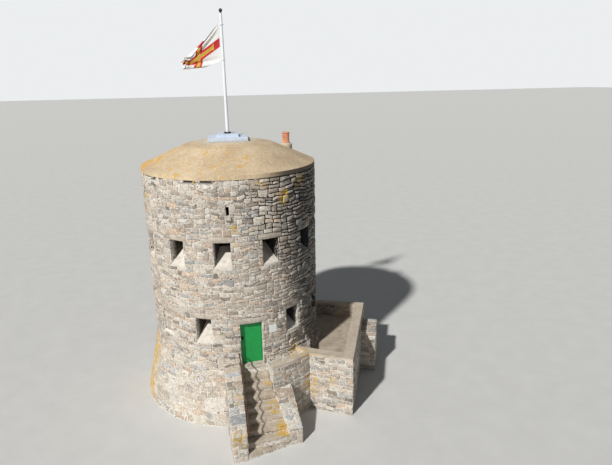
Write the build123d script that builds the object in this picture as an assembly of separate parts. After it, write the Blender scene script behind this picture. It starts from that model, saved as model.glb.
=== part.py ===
from build123d import *
import math
import os

# Loophole tower: a round granite watch and gun tower with two rows of loopholes,
# a concrete cap with a flagpole, a walled outside stair and a low walled platform.
# Millimetres, +Z up. The origin is on the tower's axis at the lowest ground it meets,
# and the entrance door faces -Y. Azimuths are degrees from -Y towards +X.

# Round wall
TOWER_RADIUS = 3050
WALL_THICKNESS = 1200
BATTER_TOP = 2350
BATTER_SPREAD = 530
RIM_HEIGHT = 8400
WALL_QUARTERS = {"front": -45, "right": 45, "back": 135, "left": 225}

# Floors
ENTRANCE_FLOOR_TOP = 2000
UPPER_FLOOR_TOP = 4700
FLOOR_THICKNESS = 200
GROUND_SLAB_THICKNESS = 150

# Loopholes, two rows of splayed embrasures
LOOPHOLES_ROUND = 12
LOOPHOLE_PITCH = 360 / LOOPHOLES_ROUND
LOWER_HEAD = 3750
UPPER_HEAD = 6400
MOUTH_WIDTH = 560
MOUTH_HEIGHT = 840
THROAT_WIDTH = 340
THROAT_HEIGHT = 320
SPLAY_DEPTH = 700
SILL_LIP = 60
LINTEL_LENGTH = 860
LINTEL_HEIGHT = 190
LINTEL_DEPTH = 350
BLOCKED_LOOPHOLE = 10
BLOCKING_RECESS = 70
BLOCKING_DEPTH = 400

# Smoke slit under the cap with its spout stone
SLIT_AZIMUTH = -10.4
SLIT_DROP = 830
SLIT_WIDTH = 100
SLIT_HEIGHT = 290
SPOUT_SIZE = (200, 120, 100)
SPOUT_DROP = 20

# Doorway
DOOR_WIDTH = 750
DOOR_HEIGHT = 1540
DOOR_REVEAL = 140
PASSAGE_WIDENING = 75
DOOR_LINTEL_OVERLAP = 200
DOOR_SILL_THICKNESS = 100
DOOR_SILL_OVERLAP = 125
DOOR_SILL_DEPTH = 400
FRAME_PROUD = 10
FRAME_HEAD = 50
FRAME_DEPTH = 90
LEAF_THICKNESS = 50
LEAF_CLEARANCE = 8
LEAF_FOOT_CLEARANCE = 8
STRAP_THICKNESS = 6
STRAP_WIDTH = 45
STRAP_LENGTH = 560
STRAP_FROM_EDGE = 220
EYE_RADIUS = 14
PIN_RADIUS = 8
PIN_CLEARANCE = 0.3
PINTLE_THICKNESS = 15
LEDGE_SIZE = (600, 25, 110)
LATCH_PLATE = (60, 5, 150)
LATCH_HEIGHT = 880
LATCH_FROM_EDGE = 70
KNOB_RADIUS = 26
KNOB_REACH = 55

# Bare plates on the wall beside the door
PLATE_PROUD = 25
DISC_AZIMUTH = 19.6
DISC_HEIGHT = 3580
DISC_RADIUS = 80
PANEL_AZIMUTH = 14.2
PANEL_HEIGHT = 3210
PANEL_SIZE = (277, 280)

# Cap and what stands on it
CAP_LIP_PROUD = 15
CAP_LIP_HEIGHT = 135
CAP_SHOULDER_RADIUS = 1600
CAP_SHOULDER_HEIGHT = 780
CAP_SEAT_RADIUS = 1030
CAP_SEAT_HEIGHT = 900
CAP_THICKNESS = 300
PLINTH_SIZE = 1370
PLINTH_HEIGHT = 125
PLINTH_TIER_SIZE = 750
PLINTH_TIER_HEIGHT = 100
PLINTH_TURN = 7
POLE_LENGTH = 3945
POLE_FOOT_RADIUS = 60
POLE_TOP_RADIUS = 44
SOCKET_RADIUS = 120
SOCKET_HEIGHT = 50
FINIAL_RADIUS = 62
FINIAL_NECK = 25
FINIAL_NECK_RADIUS = 31
CHIMNEY_AZIMUTH = 100
CHIMNEY_FROM_FACE = 800
POT_HEIGHT = 440
POT_FOOT_RADIUS = 150
POT_NECK_RADIUS = 128
POT_WALL = 28
POT_BASE_HEIGHT = 84
POT_SHOULDER = 28
POT_ROLL_RADIUS = 22
HAUNCH_RADIUS = 230
POT_BED = 40
HAUNCH_RISE = 55
HAUNCH_SLOPE = 60

# Flag, blown out from the pole and drooping
FLAG_TOP_DROP = 330
FLAG_HOIST = 1160
FLAG_REACH = 1300
FLAG_TIP_DROP = 1080
FLAG_SAG = 1500
FLAG_SAG_AT = 1040
FLAG_FOLD = 120
FLAG_BEARING = 188
TIE_HEIGHT = 24
TIE_REACH = 26

# Outside stair
STEP_COUNT = 9
STEP_GOING = 270
TREAD_THICKNESS = 70
TREAD_NOSING = 20
STAIR_HEAD_GAP = 80
STAIR_LEFT_HEAD = -465
STAIR_LEFT_FOOT = -635
STAIR_RIGHT_HEAD = 400
STAIR_RIGHT_FOOT = 740
STAIR_LEFT_RUN = 2210
STAIR_RIGHT_RUN = 1900
LEFT_PARAPET_HEAD_WIDTH = 530
RIGHT_PARAPET_HEAD_WIDTH = 730
PARAPET_FOOT_WIDTH = 460
PARAPET_TOP = 2200
PARAPET_FLAT_RUN = 630
LEFT_PARAPET_END_TOP = 940
RIGHT_PARAPET_START_TOP = 1380
RIGHT_PARAPET_END_TOP = 590
RAIL_RADIUS = 20
RAIL_HEAD_RISE = 280
RAIL_FOOT_RISE = 170
RAIL_HEAD_OVERHANG = 5
RAIL_FOOT_OVERHANG = 70
RAIL_FOOT_FROM_END = 60
RAIL_RETURN_DROP = 40
RAIL_RETURN_DEPTH = 100
RAIL_BEND_RADIUS = 60

# Curved landing to the right of the door: paving a little below a curb, and a raised wedge
# of masonry beyond its end, with corners as an azimuth and a reach like the platform's
LANDING_REACH = 730
LANDING_START = 8.2
LANDING_END = 31.2
LANDING_PAVING_TOP = 2030
LANDING_CURB_WIDTH = 210
LANDING_WEDGE_TOP = 2130
LANDING_WEDGE_CORNERS = [(31.2, 730), (33.3, 657), (51.6, 0)]
COPING_THICKNESS = 90
WEEP_RADIUS = 35
WEEP_DEPTH = 300
LANDING_WEEP_AZIMUTH = 18.9
LANDING_WEEP_HEIGHT = 1730
PLATFORM_WEEP_FROM_LANDING = 840
PLATFORM_WEEP_HEIGHT = 1430

# Low platform on the right. Its corners go anticlockwise from the landing wall, each as an
# azimuth and how far it stands out from the tower's face.
PLATFORM_TOP = 2200
PLATFORM_FLOOR = 1650
PLATFORM_WALL = 360
PLATFORM_BACK_WALL = 250
PLATFORM_CORNERS = [(31.22, 762), (38.1, 2190), (90.69, 2295), (106.44, 509)]
DRAIN_RADIUS = 40
DRAIN_FROM_CORNER = 635
DRAIN_RISE = 50
BUTTRESS_TOP = 1700
BUTTRESS_FROM_CORNER = 490
BUTTRESS_LENGTH = 1180
BUTTRESS_REACH = 600
PIPE_RADIUS = 22
PIPE_FROM_CORNER = 2000
PIPE_FOOT = 250
PIPE_TOP = 1950

# Worked out from the sizes above
INNER_RADIUS = TOWER_RADIUS - WALL_THICKNESS
LOWER_SILL = LOWER_HEAD - MOUTH_HEIGHT - SILL_LIP
UPPER_SILL = UPPER_HEAD - MOUTH_HEIGHT - SILL_LIP
SLIT_SILL = RIM_HEIGHT - SLIT_DROP - SLIT_HEIGHT
DOOR_HEAD = ENTRANCE_FLOOR_TOP + DOOR_HEIGHT
PASSAGE_WIDTH = DOOR_WIDTH + 2 * PASSAGE_WIDENING
FRAME_FRONT = -(TOWER_RADIUS - DOOR_REVEAL)
FRAME_BACK = FRAME_FRONT + FRAME_DEPTH
FRAME_OPENING = DOOR_WIDTH - 2 * FRAME_PROUD
LEAF_WIDTH = FRAME_OPENING - 2 * LEAF_CLEARANCE
LEAF_BACK = FRAME_BACK + LEAF_CLEARANCE
LEAF_FRONT = LEAF_BACK - LEAF_THICKNESS
LEAF_FOOT = ENTRANCE_FLOOR_TOP + LEAF_FOOT_CLEARANCE
LEAF_TOP = DOOR_HEAD - FRAME_HEAD - LEAF_CLEARANCE
HINGE_X = LEAF_WIDTH / 2 + LEAF_CLEARANCE / 2
HINGE_Y = LEAF_BACK + EYE_RADIUS
CAP_SEAT = RIM_HEIGHT + CAP_SEAT_HEIGHT
PLINTH_TOP = CAP_SEAT + PLINTH_HEIGHT
POLE_FOOT = PLINTH_TOP + PLINTH_TIER_HEIGHT
POLE_TOP = POLE_FOOT + POLE_LENGTH
STEP_RISE = ENTRANCE_FLOOR_TOP / STEP_COUNT
STAIR_HEAD = TOWER_RADIUS + STAIR_HEAD_GAP
STAIR_FOOT_LEFT = TOWER_RADIUS + STAIR_LEFT_RUN
STAIR_FOOT_RIGHT = TOWER_RADIUS + STAIR_RIGHT_RUN
PARAPET_FLAT_END = TOWER_RADIUS + PARAPET_FLAT_RUN
LANDING_RADIUS = TOWER_RADIUS + LANDING_REACH
BEYOND = 2000


def outer_radius(height):
    """Radius of the tower's outer face at a height, with the battered foot."""
    return TOWER_RADIUS + BATTER_SPREAD * max(0, 1 - height / BATTER_TOP)


def polar(azimuth, radius):
    angle = math.radians(azimuth)
    return (radius * math.sin(angle), -radius * math.cos(angle))


def prism(points, low, high):
    """Upright prism over a plan outline."""
    face = make_face(Polyline(*points, close=True))
    return extrude(Plane.XY.offset(low) * face, amount=high - low)


def side_prism(points, reach):
    """Prism along X over an outline of (y, z) points, to both sides."""
    face = make_face(Polyline(*points, close=True))
    return extrude(Plane.YZ * face, amount=reach, both=True)


def post(radius, height):
    """Upright cylinder standing on the ground plane."""
    return Cylinder(radius, height, align=(Align.CENTER, Align.CENTER, Align.MIN))


def slab(width, height):
    """Square block standing on the ground plane."""
    return Box(width, width, height, align=(Align.CENTER, Align.CENTER, Align.MIN))


def turned(points, start=0, end=360):
    """Solid of revolution over (radius, height) points between two azimuths."""
    face = Plane.XZ * make_face(Polyline(*points, close=True))
    solid = revolve(face, axis=Axis.Z, revolution_arc=end - start)
    return Rot(0, 0, start - 90) * solid


def wall_block(low, high, start=0, end=360, inner=INNER_RADIUS):
    """Piece of the round wall between two heights and two azimuths."""
    points = [(inner, low), (outer_radius(low), low)]
    if low < BATTER_TOP < high:
        points.append((TOWER_RADIUS, BATTER_TOP))
    points += [(outer_radius(high), high), (inner, high)]
    return turned(points, start, end)


def span(width, front, back, low, high):
    """Box centred on the door's axis, between two y values and two heights."""
    half = width / 2
    return prism([(-half, front), (half, front), (half, back), (-half, back)], low, high)


def tower_mass():
    """Whole solid inside the outer face, used to trim what is built against it."""
    low = -BEYOND
    points = [(0, low), (outer_radius(low), low), (TOWER_RADIUS, BATTER_TOP)]
    points += [(TOWER_RADIUS, RIM_HEIGHT), (0, RIM_HEIGHT)]
    return turned(points)


def embrasure(low, high):
    """Plan of one loophole at the door's azimuth, as an upright prism."""
    splay = (MOUTH_WIDTH - THROAT_WIDTH) / 2 / SPLAY_DEPTH
    past = WALL_THICKNESS / 4
    mouth = MOUTH_WIDTH / 2 + splay * past
    throat = THROAT_WIDTH / 2
    bend = -(TOWER_RADIUS - SPLAY_DEPTH)
    outside = -(TOWER_RADIUS + past)
    inside = -(INNER_RADIUS - past)
    points = [(-mouth, outside), (mouth, outside), (throat, bend), (throat, inside)]
    points += [(-throat, inside), (-throat, bend)]
    return prism(points, low, high)


def doorway(low, high):
    """Door opening with its dressed reveal and the wider passage behind it."""
    reveal = span(DOOR_WIDTH, -TOWER_RADIUS - BATTER_SPREAD, FRAME_FRONT, low, high)
    return reveal + span(PASSAGE_WIDTH, FRAME_FRONT, -INNER_RADIUS / 2, low, high)


def lintel_seat(head):
    """Room for one loophole's dressed lintel, flat at its back."""
    back = -(TOWER_RADIUS - LINTEL_DEPTH)
    return span(LINTEL_LENGTH, -TOWER_RADIUS - LINTEL_DEPTH, back, head, head + LINTEL_HEIGHT)


def around(shape, first, count, skipped=()):
    """Copies of a shape at the loopholes' pitch, starting at an azimuth."""
    places = [index for index in range(count) if index not in skipped]
    return [Rot(0, 0, first + LOOPHOLE_PITCH * index) * shape for index in places]


nodes = {}


def add(name, *shapes):
    nodes[name] = shapes[0] if len(shapes) == 1 else Part() + list(shapes)


HALF_PITCH = LOOPHOLE_PITCH / 2
door_lintel_seat = span(
    DOOR_WIDTH + 2 * DOOR_LINTEL_OVERLAP, -2 * TOWER_RADIUS, -INNER_RADIUS / 2, DOOR_HEAD, LOWER_HEAD
)
door_sill_seat = span(
    DOOR_WIDTH + 2 * DOOR_SILL_OVERLAP,
    -2 * TOWER_RADIUS,
    FRAME_FRONT - DOOR_REVEAL + DOOR_SILL_DEPTH,
    ENTRANCE_FLOOR_TOP - DOOR_SILL_THICKNESS,
    ENTRANCE_FLOOR_TOP,
)

# Battered foot of the wall, whole below the door and split beside it
for side, start in WALL_QUARTERS.items():
    if side == "front":
        base = wall_block(0, ENTRANCE_FLOOR_TOP, start, start + 90)
        add("base_wall_front", base - door_sill_seat)
    else:
        add("base_wall_" + side, wall_block(0, LOWER_SILL, start, start + 90))
for side, start in {"left": -45, "right": 0}.items():
    cheek = wall_block(ENTRANCE_FLOOR_TOP, LOWER_SILL, start, start + 45)
    add("door_side_wall_" + side, cheek - doorway(ENTRANCE_FLOOR_TOP, LOWER_SILL))

# Wall above each row of loopholes, in quarters notched for the lintels
for band, low, high, first in [
    ("middle", LOWER_HEAD, UPPER_SILL, 0),
    ("upper", UPPER_HEAD, RIM_HEIGHT, HALF_PITCH),
]:
    skipped = [0] if band == "middle" else []
    seats = around(lintel_seat(low), first, LOOPHOLES_ROUND, skipped)
    for side, start in WALL_QUARTERS.items():
        block = wall_block(low, high, start, start + 90) - seats
        if band == "upper" and side == "front":
            slit = span(SLIT_WIDTH, -2 * TOWER_RADIUS, 0, SLIT_SILL, SLIT_SILL + SLIT_HEIGHT)
            block -= Rot(0, 0, SLIT_AZIMUTH) * slit
        add(band + "_wall_" + side, block)

# Piers between the loopholes, sloping sills in them and lintels over them
for band, low, head, first in [
    ("lower", LOWER_SILL, LOWER_HEAD, 0),
    ("upper", UPPER_SILL, UPPER_HEAD, HALF_PITCH),
]:
    opening = embrasure(low, head)
    pier = wall_block(low, head, 0, LOOPHOLE_PITCH) - opening - Rot(0, 0, LOOPHOLE_PITCH) * opening
    skipped = [0, LOOPHOLES_ROUND - 1] if band == "lower" else []
    piers = around(pier, first, LOOPHOLES_ROUND, skipped)
    if band == "lower":
        by_door = doorway(low, head) + door_lintel_seat
        for start, loophole in [(0, LOOPHOLE_PITCH), (-LOOPHOLE_PITCH, -LOOPHOLE_PITCH)]:
            block = wall_block(low, head, start, start + LOOPHOLE_PITCH)
            piers.append(block - by_door - Rot(0, 0, loophole) * opening)
    add(band + "_piers", *piers)

    bend = -(TOWER_RADIUS - SPLAY_DEPTH)
    lip = low + SILL_LIP
    throat_sill = head - THROAT_HEIGHT
    slope = [(-2 * TOWER_RADIUS, low), (-2 * TOWER_RADIUS, lip), (-TOWER_RADIUS, lip)]
    slope += [(bend, throat_sill), (0, throat_sill), (0, low)]
    under_slope = side_prism(slope, MOUTH_WIDTH)
    sill = wall_block(low, head, -HALF_PITCH, HALF_PITCH) & opening & under_slope
    lintel = wall_block(head, head + LINTEL_HEIGHT, -HALF_PITCH, HALF_PITCH) & lintel_seat(head)
    skipped = [0] if band == "lower" else []
    add(band + "_loophole_sills", *around(sill, first, LOOPHOLES_ROUND, skipped))
    add(band + "_loophole_lintels", *around(lintel, first, LOOPHOLES_ROUND, skipped))

# One lower loophole is walled up with stone, a little behind the wall's face
front_face = -(TOWER_RADIUS - BLOCKING_RECESS)
filling = span(MOUTH_WIDTH, front_face, front_face + BLOCKING_DEPTH, LOWER_SILL, LOWER_HEAD)
filling &= embrasure(LOWER_SILL, LOWER_HEAD)
filling = Rot(0, 0, LOOPHOLE_PITCH * BLOCKED_LOOPHOLE) * filling
add("blocked_loophole_fill", filling - nodes["lower_loophole_sills"])

# Floors
floor_disc = post(INNER_RADIUS, FLOOR_THICKNESS)
add("ground_floor", post(INNER_RADIUS, GROUND_SLAB_THICKNESS))
add("entrance_floor", Pos(0, 0, ENTRANCE_FLOOR_TOP - FLOOR_THICKNESS) * floor_disc)
add("upper_floor", Pos(0, 0, UPPER_FLOOR_TOP - FLOOR_THICKNESS) * floor_disc)

# Doorway stones
lintel_band = wall_block(DOOR_HEAD, LOWER_HEAD, -HALF_PITCH, HALF_PITCH)
add("door_lintel", lintel_band & door_lintel_seat)
sill_band = wall_block(ENTRANCE_FLOOR_TOP - DOOR_SILL_THICKNESS, ENTRANCE_FLOOR_TOP, -45, 45)
add("door_sill", sill_band & door_sill_seat)

# Door frame behind the reveal, and the leaf that opens inwards on two pintles
frame_block = span(PASSAGE_WIDTH, FRAME_FRONT, FRAME_BACK, ENTRANCE_FLOOR_TOP, DOOR_HEAD)
frame_hole = span(
    FRAME_OPENING, FRAME_FRONT, FRAME_BACK, ENTRANCE_FLOOR_TOP, DOOR_HEAD - FRAME_HEAD
)
add("door_frame", frame_block - frame_hole)

leaf = span(LEAF_WIDTH, LEAF_FRONT, LEAF_BACK, LEAF_FOOT, LEAF_TOP)
ledge_width, ledge_depth, ledge_height = LEDGE_SIZE
hinge_heights = [LEAF_FOOT + STRAP_FROM_EDGE, LEAF_TOP - STRAP_FROM_EDGE]
ledge_heights = [hinge_heights[0] + STRAP_WIDTH, hinge_heights[1] - STRAP_WIDTH - ledge_height]
for ledge_foot in ledge_heights:
    ledge = span(ledge_width, LEAF_BACK, LEAF_BACK + ledge_depth, ledge_foot, ledge_foot + ledge_height)
    leaf += ledge
add("door_leaf", leaf)

straps = []
pintles = []
eye = Cylinder(EYE_RADIUS, STRAP_WIDTH)
eye_hole = Cylinder(PIN_RADIUS + PIN_CLEARANCE, STRAP_WIDTH)
for height in hinge_heights:
    eye_foot = height - STRAP_WIDTH / 2
    centre = Pos(HINGE_X, HINGE_Y, height)
    strap = prism(
        [
            (HINGE_X - STRAP_LENGTH, LEAF_BACK),
            (HINGE_X, LEAF_BACK),
            (HINGE_X, LEAF_BACK + STRAP_THICKNESS),
            (HINGE_X - STRAP_LENGTH, LEAF_BACK + STRAP_THICKNESS),
        ],
        eye_foot,
        eye_foot + STRAP_WIDTH,
    )
    straps.append(strap + centre * eye - centre * eye_hole)
    shelf_top = eye_foot - PIN_CLEARANCE
    shelf = prism(
        [
            (HINGE_X - PIN_RADIUS, HINGE_Y - PIN_RADIUS),
            (HINGE_X + EYE_RADIUS, HINGE_Y - PIN_RADIUS),
            (HINGE_X + EYE_RADIUS, FRAME_BACK),
            (HINGE_X + 3 * EYE_RADIUS, FRAME_BACK),
            (HINGE_X + 3 * EYE_RADIUS, HINGE_Y + EYE_RADIUS),
            (HINGE_X - PIN_RADIUS, HINGE_Y + EYE_RADIUS),
        ],
        shelf_top - PINTLE_THICKNESS,
        shelf_top,
    )
    pin = Pos(HINGE_X, HINGE_Y, shelf_top) * post(PIN_RADIUS, STRAP_WIDTH)
    pintles.append(shelf + pin)
add("door_straps", *straps)
add("door_pintles", *pintles)

plate_width, plate_depth, plate_height = LATCH_PLATE
latch_x = -LEAF_WIDTH / 2 + LATCH_FROM_EDGE
latch_z = LEAF_FOOT + LATCH_HEIGHT
latch = Pos(latch_x, 0, 0) * span(
    plate_width, LEAF_FRONT - plate_depth, LEAF_FRONT, latch_z, latch_z + plate_height
)
knob_at = Plane.XZ * Pos(latch_x, latch_z + plate_height / 2, -LEAF_FRONT)
knob_shank = knob_at * post(KNOB_RADIUS / 2, KNOB_REACH)
knob = Pos(latch_x, LEAF_FRONT - KNOB_REACH, latch_z + plate_height / 2) * Sphere(KNOB_RADIUS)
add("door_latch", latch + knob_shank + knob)

# Bare disc and panel fixed to the wall
trim = tower_mass()
disc = Plane.XZ * post(DISC_RADIUS, TOWER_RADIUS + PLATE_PROUD)
disc = Rot(0, 0, DISC_AZIMUTH) * Pos(0, 0, DISC_HEIGHT) * disc - trim
panel_width, panel_height = PANEL_SIZE
panel_foot = PANEL_HEIGHT - panel_height / 2
panel = span(panel_width, -TOWER_RADIUS - PLATE_PROUD, 0, panel_foot, panel_foot + panel_height)
panel = Rot(0, 0, PANEL_AZIMUTH) * panel - trim
add("wall_plates", disc, panel)

# Spout stone under the smoke slit
spout_width, spout_reach, spout_height = SPOUT_SIZE
spout_top = SLIT_SILL - SPOUT_DROP
spout_front = -TOWER_RADIUS - spout_reach
spout = span(spout_width, spout_front, 0, spout_top - spout_height, spout_top)
add("spout_stone", Rot(0, 0, SLIT_AZIMUTH) * spout - trim)


# Cap: a shallow cone of concrete over the wall, eased at its shoulder and flat in the middle
cap_edge = TOWER_RADIUS + CAP_LIP_PROUD
cap_fall = (CAP_SHOULDER_HEIGHT - CAP_LIP_HEIGHT) / (cap_edge - CAP_SHOULDER_RADIUS)


def cap_height(radius):
    """Height of the cap's top outside its shoulder."""
    return RIM_HEIGHT + CAP_LIP_HEIGHT + cap_fall * (cap_edge - radius)


def cap_outline():
    lip = [(cap_edge, RIM_HEIGHT), (cap_edge, RIM_HEIGHT + CAP_LIP_HEIGHT)]
    shoulder = (CAP_SHOULDER_RADIUS, RIM_HEIGHT + CAP_SHOULDER_HEIGHT)
    return lip + [shoulder, (CAP_SEAT_RADIUS, CAP_SEAT)]


ceiling = CAP_SEAT - CAP_THICKNESS
springing = cap_height(INNER_RADIUS) - CAP_THICKNESS
cap = turned(
    cap_outline()
    + [(0, CAP_SEAT), (0, ceiling), (CAP_SEAT_RADIUS, ceiling), (INNER_RADIUS, springing)]
    + [(INNER_RADIUS, RIM_HEIGHT)]
)
add("roof_cap", cap)
cap_mass = turned(cap_outline() + [(0, CAP_SEAT), (0, RIM_HEIGHT)])

plinth = Pos(0, 0, CAP_SEAT) * slab(PLINTH_SIZE, PLINTH_HEIGHT)
plinth += Pos(0, 0, PLINTH_TOP) * slab(PLINTH_TIER_SIZE, PLINTH_TIER_HEIGHT)
add("flag_plinth", Rot(0, 0, -PLINTH_TURN) * plinth)

# Flagpole with its socket and ball
pole_side = [(POLE_FOOT_RADIUS, POLE_FOOT), (POLE_TOP_RADIUS, POLE_TOP)]
pole = turned([(0, POLE_FOOT)] + pole_side + [(0, POLE_TOP)])
add("flagpole", pole)
socket = Pos(0, 0, POLE_FOOT) * post(SOCKET_RADIUS, SOCKET_HEIGHT)
add("pole_socket", socket - pole)
neck = post(FINIAL_NECK_RADIUS, FINIAL_NECK + FINIAL_RADIUS)
ball = Pos(0, 0, FINIAL_NECK + FINIAL_RADIUS) * Sphere(FINIAL_RADIUS)
add("pole_finial", Pos(0, 0, POLE_TOP) * (neck + ball))

# Flag and the two ties that hold its hoist to the pole
flag_top = POLE_TOP - FLAG_TOP_DROP
flag_foot = flag_top - FLAG_HOIST
hoist = POLE_FOOT_RADIUS + TIE_REACH
flag_points = [
    (hoist, flag_top),
    (hoist + FLAG_REACH, flag_top - FLAG_TIP_DROP),
    (hoist + FLAG_REACH, flag_top - FLAG_TIP_DROP - FLAG_FOLD),
    (hoist + FLAG_SAG_AT, flag_top - FLAG_SAG),
    (hoist, flag_foot),
]
flag_face = Plane.XZ * make_face(Polyline(*flag_points, close=True))
flag = extrude(flag_face, amount=FLAG_FOLD / 2, both=True)
to_bearing = Rot(0, 0, -FLAG_BEARING)
add("flag", to_bearing * flag)
ties = []
for tie_height in [flag_top - TIE_HEIGHT, flag_foot + TIE_HEIGHT]:
    ring = Cylinder(POLE_FOOT_RADIUS + TIE_REACH / 2, TIE_HEIGHT)
    lug = Box(hoist, TIE_HEIGHT, TIE_HEIGHT, align=(Align.MIN, Align.CENTER, Align.CENTER))
    ties.append(to_bearing * Pos(0, 0, tie_height) * (ring + lug) - pole)
add("flag_ties", *ties)

# Chimney pot and its mortar haunch at the back of the cap
chimney_radius = TOWER_RADIUS - CHIMNEY_FROM_FACE
chimney_x, chimney_y = polar(CHIMNEY_AZIMUTH, chimney_radius)
roof_there = cap_height(chimney_radius)
pot_foot = roof_there + cap_fall * POT_FOOT_RADIUS + POT_BED
pot_top = pot_foot + POT_HEIGHT
pot_profile = [
    (POT_FOOT_RADIUS - POT_WALL, pot_foot),
    (POT_FOOT_RADIUS, pot_foot),
    (POT_FOOT_RADIUS, pot_foot + POT_BASE_HEIGHT),
    (POT_NECK_RADIUS, pot_foot + POT_BASE_HEIGHT + POT_SHOULDER),
    (POT_NECK_RADIUS, pot_top),
    (POT_NECK_RADIUS - POT_WALL, pot_top),
    (POT_NECK_RADIUS - POT_WALL, pot_foot + POT_BASE_HEIGHT + POT_SHOULDER),
]
roll = Pos(0, 0, pot_top - POT_ROLL_RADIUS) * Torus(POT_NECK_RADIUS, POT_ROLL_RADIUS)
pot_bore = Pos(0, 0, pot_foot) * post(POT_NECK_RADIUS - POT_WALL, POT_HEIGHT)
pot = turned(pot_profile) + (roll - pot_bore)
add("chimney_pot", Pos(chimney_x, chimney_y, 0) * pot)
haunch_top = pot_foot + HAUNCH_RISE
haunch_foot = roof_there - 2 * cap_fall * HAUNCH_RADIUS
haunch = turned(
    [
        (0, haunch_foot),
        (HAUNCH_RADIUS, haunch_foot),
        (HAUNCH_RADIUS, haunch_top - HAUNCH_SLOPE),
        (POT_FOOT_RADIUS, haunch_top),
        (0, haunch_top),
    ]
)
pot_seat = Pos(0, 0, pot_foot) * post(POT_FOOT_RADIUS, POT_HEIGHT)
add("chimney_haunch", Pos(chimney_x, chimney_y, 0) * (haunch - pot_seat) - cap_mass)

# Landing, solid between the tower and its curved face, with its curb standing over the paving
landing_top = PARAPET_TOP - COPING_THICKNESS
curb_back = LANDING_RADIUS - LANDING_CURB_WIDTH
curb_profile = [(LANDING_RADIUS, 0), (LANDING_RADIUS, landing_top), (curb_back, landing_top)]
landing_profile = [(0, 0)] + curb_profile + [(curb_back, LANDING_PAVING_TOP), (0, LANDING_PAVING_TOP)]
landing = turned(landing_profile, LANDING_START, LANDING_END) - trim
weep = Plane.XZ * Pos(0, LANDING_WEEP_HEIGHT, LANDING_RADIUS - WEEP_DEPTH)
landing -= Rot(0, 0, LANDING_WEEP_AZIMUTH) * weep * post(WEEP_RADIUS, 2 * WEEP_DEPTH)

# Stair between its two parapets
stair_outline = [
    (STAIR_LEFT_HEAD, -INNER_RADIUS),
    (STAIR_LEFT_HEAD, -TOWER_RADIUS),
    (STAIR_LEFT_FOOT, -STAIR_FOOT_LEFT),
    (STAIR_RIGHT_FOOT, -STAIR_FOOT_RIGHT),
    (STAIR_RIGHT_HEAD, -TOWER_RADIUS),
    (STAIR_RIGHT_HEAD, -INNER_RADIUS),
]
stair_plan = prism(stair_outline, 0, ENTRANCE_FLOOR_TOP)
core = None
treads = []
for number in range(1, STEP_COUNT):
    top = number * STEP_RISE
    front = -STAIR_HEAD - STEP_GOING * (STEP_COUNT - number)
    back = front + STEP_GOING
    block = span(2 * BEYOND, front, -INNER_RADIUS, 0, top - TREAD_THICKNESS)
    core = block if core is None else core + block
    tread = span(2 * BEYOND, front - TREAD_NOSING, back, top - TREAD_THICKNESS, top)
    treads.append(tread & stair_plan)
core = (core & stair_plan) - trim - landing
add("stair_core", core)
add("stair_treads", *[tread - trim - landing for tread in treads])

left_plan = [
    (STAIR_LEFT_HEAD - LEFT_PARAPET_HEAD_WIDTH, -INNER_RADIUS),
    (STAIR_LEFT_HEAD - LEFT_PARAPET_HEAD_WIDTH, -TOWER_RADIUS),
    (STAIR_LEFT_FOOT - PARAPET_FOOT_WIDTH, -STAIR_FOOT_LEFT),
    (STAIR_LEFT_FOOT, -STAIR_FOOT_LEFT),
    (STAIR_LEFT_HEAD, -TOWER_RADIUS),
    (STAIR_LEFT_HEAD, -INNER_RADIUS),
]
left_profile = [
    (0, 0),
    (0, PARAPET_TOP),
    (-PARAPET_FLAT_END, PARAPET_TOP),
    (-STAIR_FOOT_LEFT, LEFT_PARAPET_END_TOP),
    (-STAIR_FOOT_LEFT, 0),
]
left_parapet = prism(left_plan, 0, PARAPET_TOP) & side_prism(left_profile, BEYOND)
add("stair_parapet_left", left_parapet - trim)

right_plan = [
    (STAIR_RIGHT_HEAD, -TOWER_RADIUS),
    (STAIR_RIGHT_FOOT, -STAIR_FOOT_RIGHT),
    (STAIR_RIGHT_FOOT + PARAPET_FOOT_WIDTH, -STAIR_FOOT_RIGHT),
    (STAIR_RIGHT_HEAD + RIGHT_PARAPET_HEAD_WIDTH, -TOWER_RADIUS),
]
right_profile = [
    (0, 0),
    (0, RIGHT_PARAPET_START_TOP),
    (-LANDING_RADIUS, RIGHT_PARAPET_START_TOP),
    (-STAIR_FOOT_RIGHT, RIGHT_PARAPET_END_TOP),
    (-STAIR_FOOT_RIGHT, 0),
]
right_parapet = prism(right_plan, 0, PARAPET_TOP) & side_prism(right_profile, BEYOND)
landing_sweep = turned([(0, 0)] + curb_profile + [(0, landing_top)], 0, LANDING_END)
add("stair_parapet_right", right_parapet - landing_sweep - trim)

# Steel handrail along the left parapet, from the tower's wall to a return near the parapet's end
rail_slope = (PARAPET_TOP - LEFT_PARAPET_END_TOP) / (STAIR_FOOT_LEFT - PARAPET_FLAT_END)
rail_foot_y = -STAIR_FOOT_LEFT + RAIL_FOOT_FROM_END
rail_foot = LEFT_PARAPET_END_TOP + rail_slope * RAIL_FOOT_FROM_END + RAIL_FOOT_RISE
rail_head = PARAPET_TOP + RAIL_HEAD_RISE
rail_head_x = STAIR_LEFT_HEAD + RAIL_HEAD_OVERHANG
rail_foot_x = STAIR_LEFT_FOOT + RAIL_FOOT_OVERHANG
rail_bend_x = rail_head_x + (rail_foot_x - rail_head_x) * PARAPET_FLAT_RUN / STAIR_LEFT_RUN
rail_return = LEFT_PARAPET_END_TOP - RAIL_RETURN_DROP
rail_points = [
    (rail_head_x, -TOWER_RADIUS + 2 * RAIL_RADIUS, rail_head),
    (rail_bend_x, -PARAPET_FLAT_END, rail_head),
    (rail_foot_x, rail_foot_y, rail_foot),
    (rail_foot_x, rail_foot_y, rail_return),
    (STAIR_LEFT_FOOT - RAIL_RETURN_DEPTH, rail_foot_y, rail_return),
]
rail_path = FilletPolyline(*rail_points, radius=RAIL_BEND_RADIUS)
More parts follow.
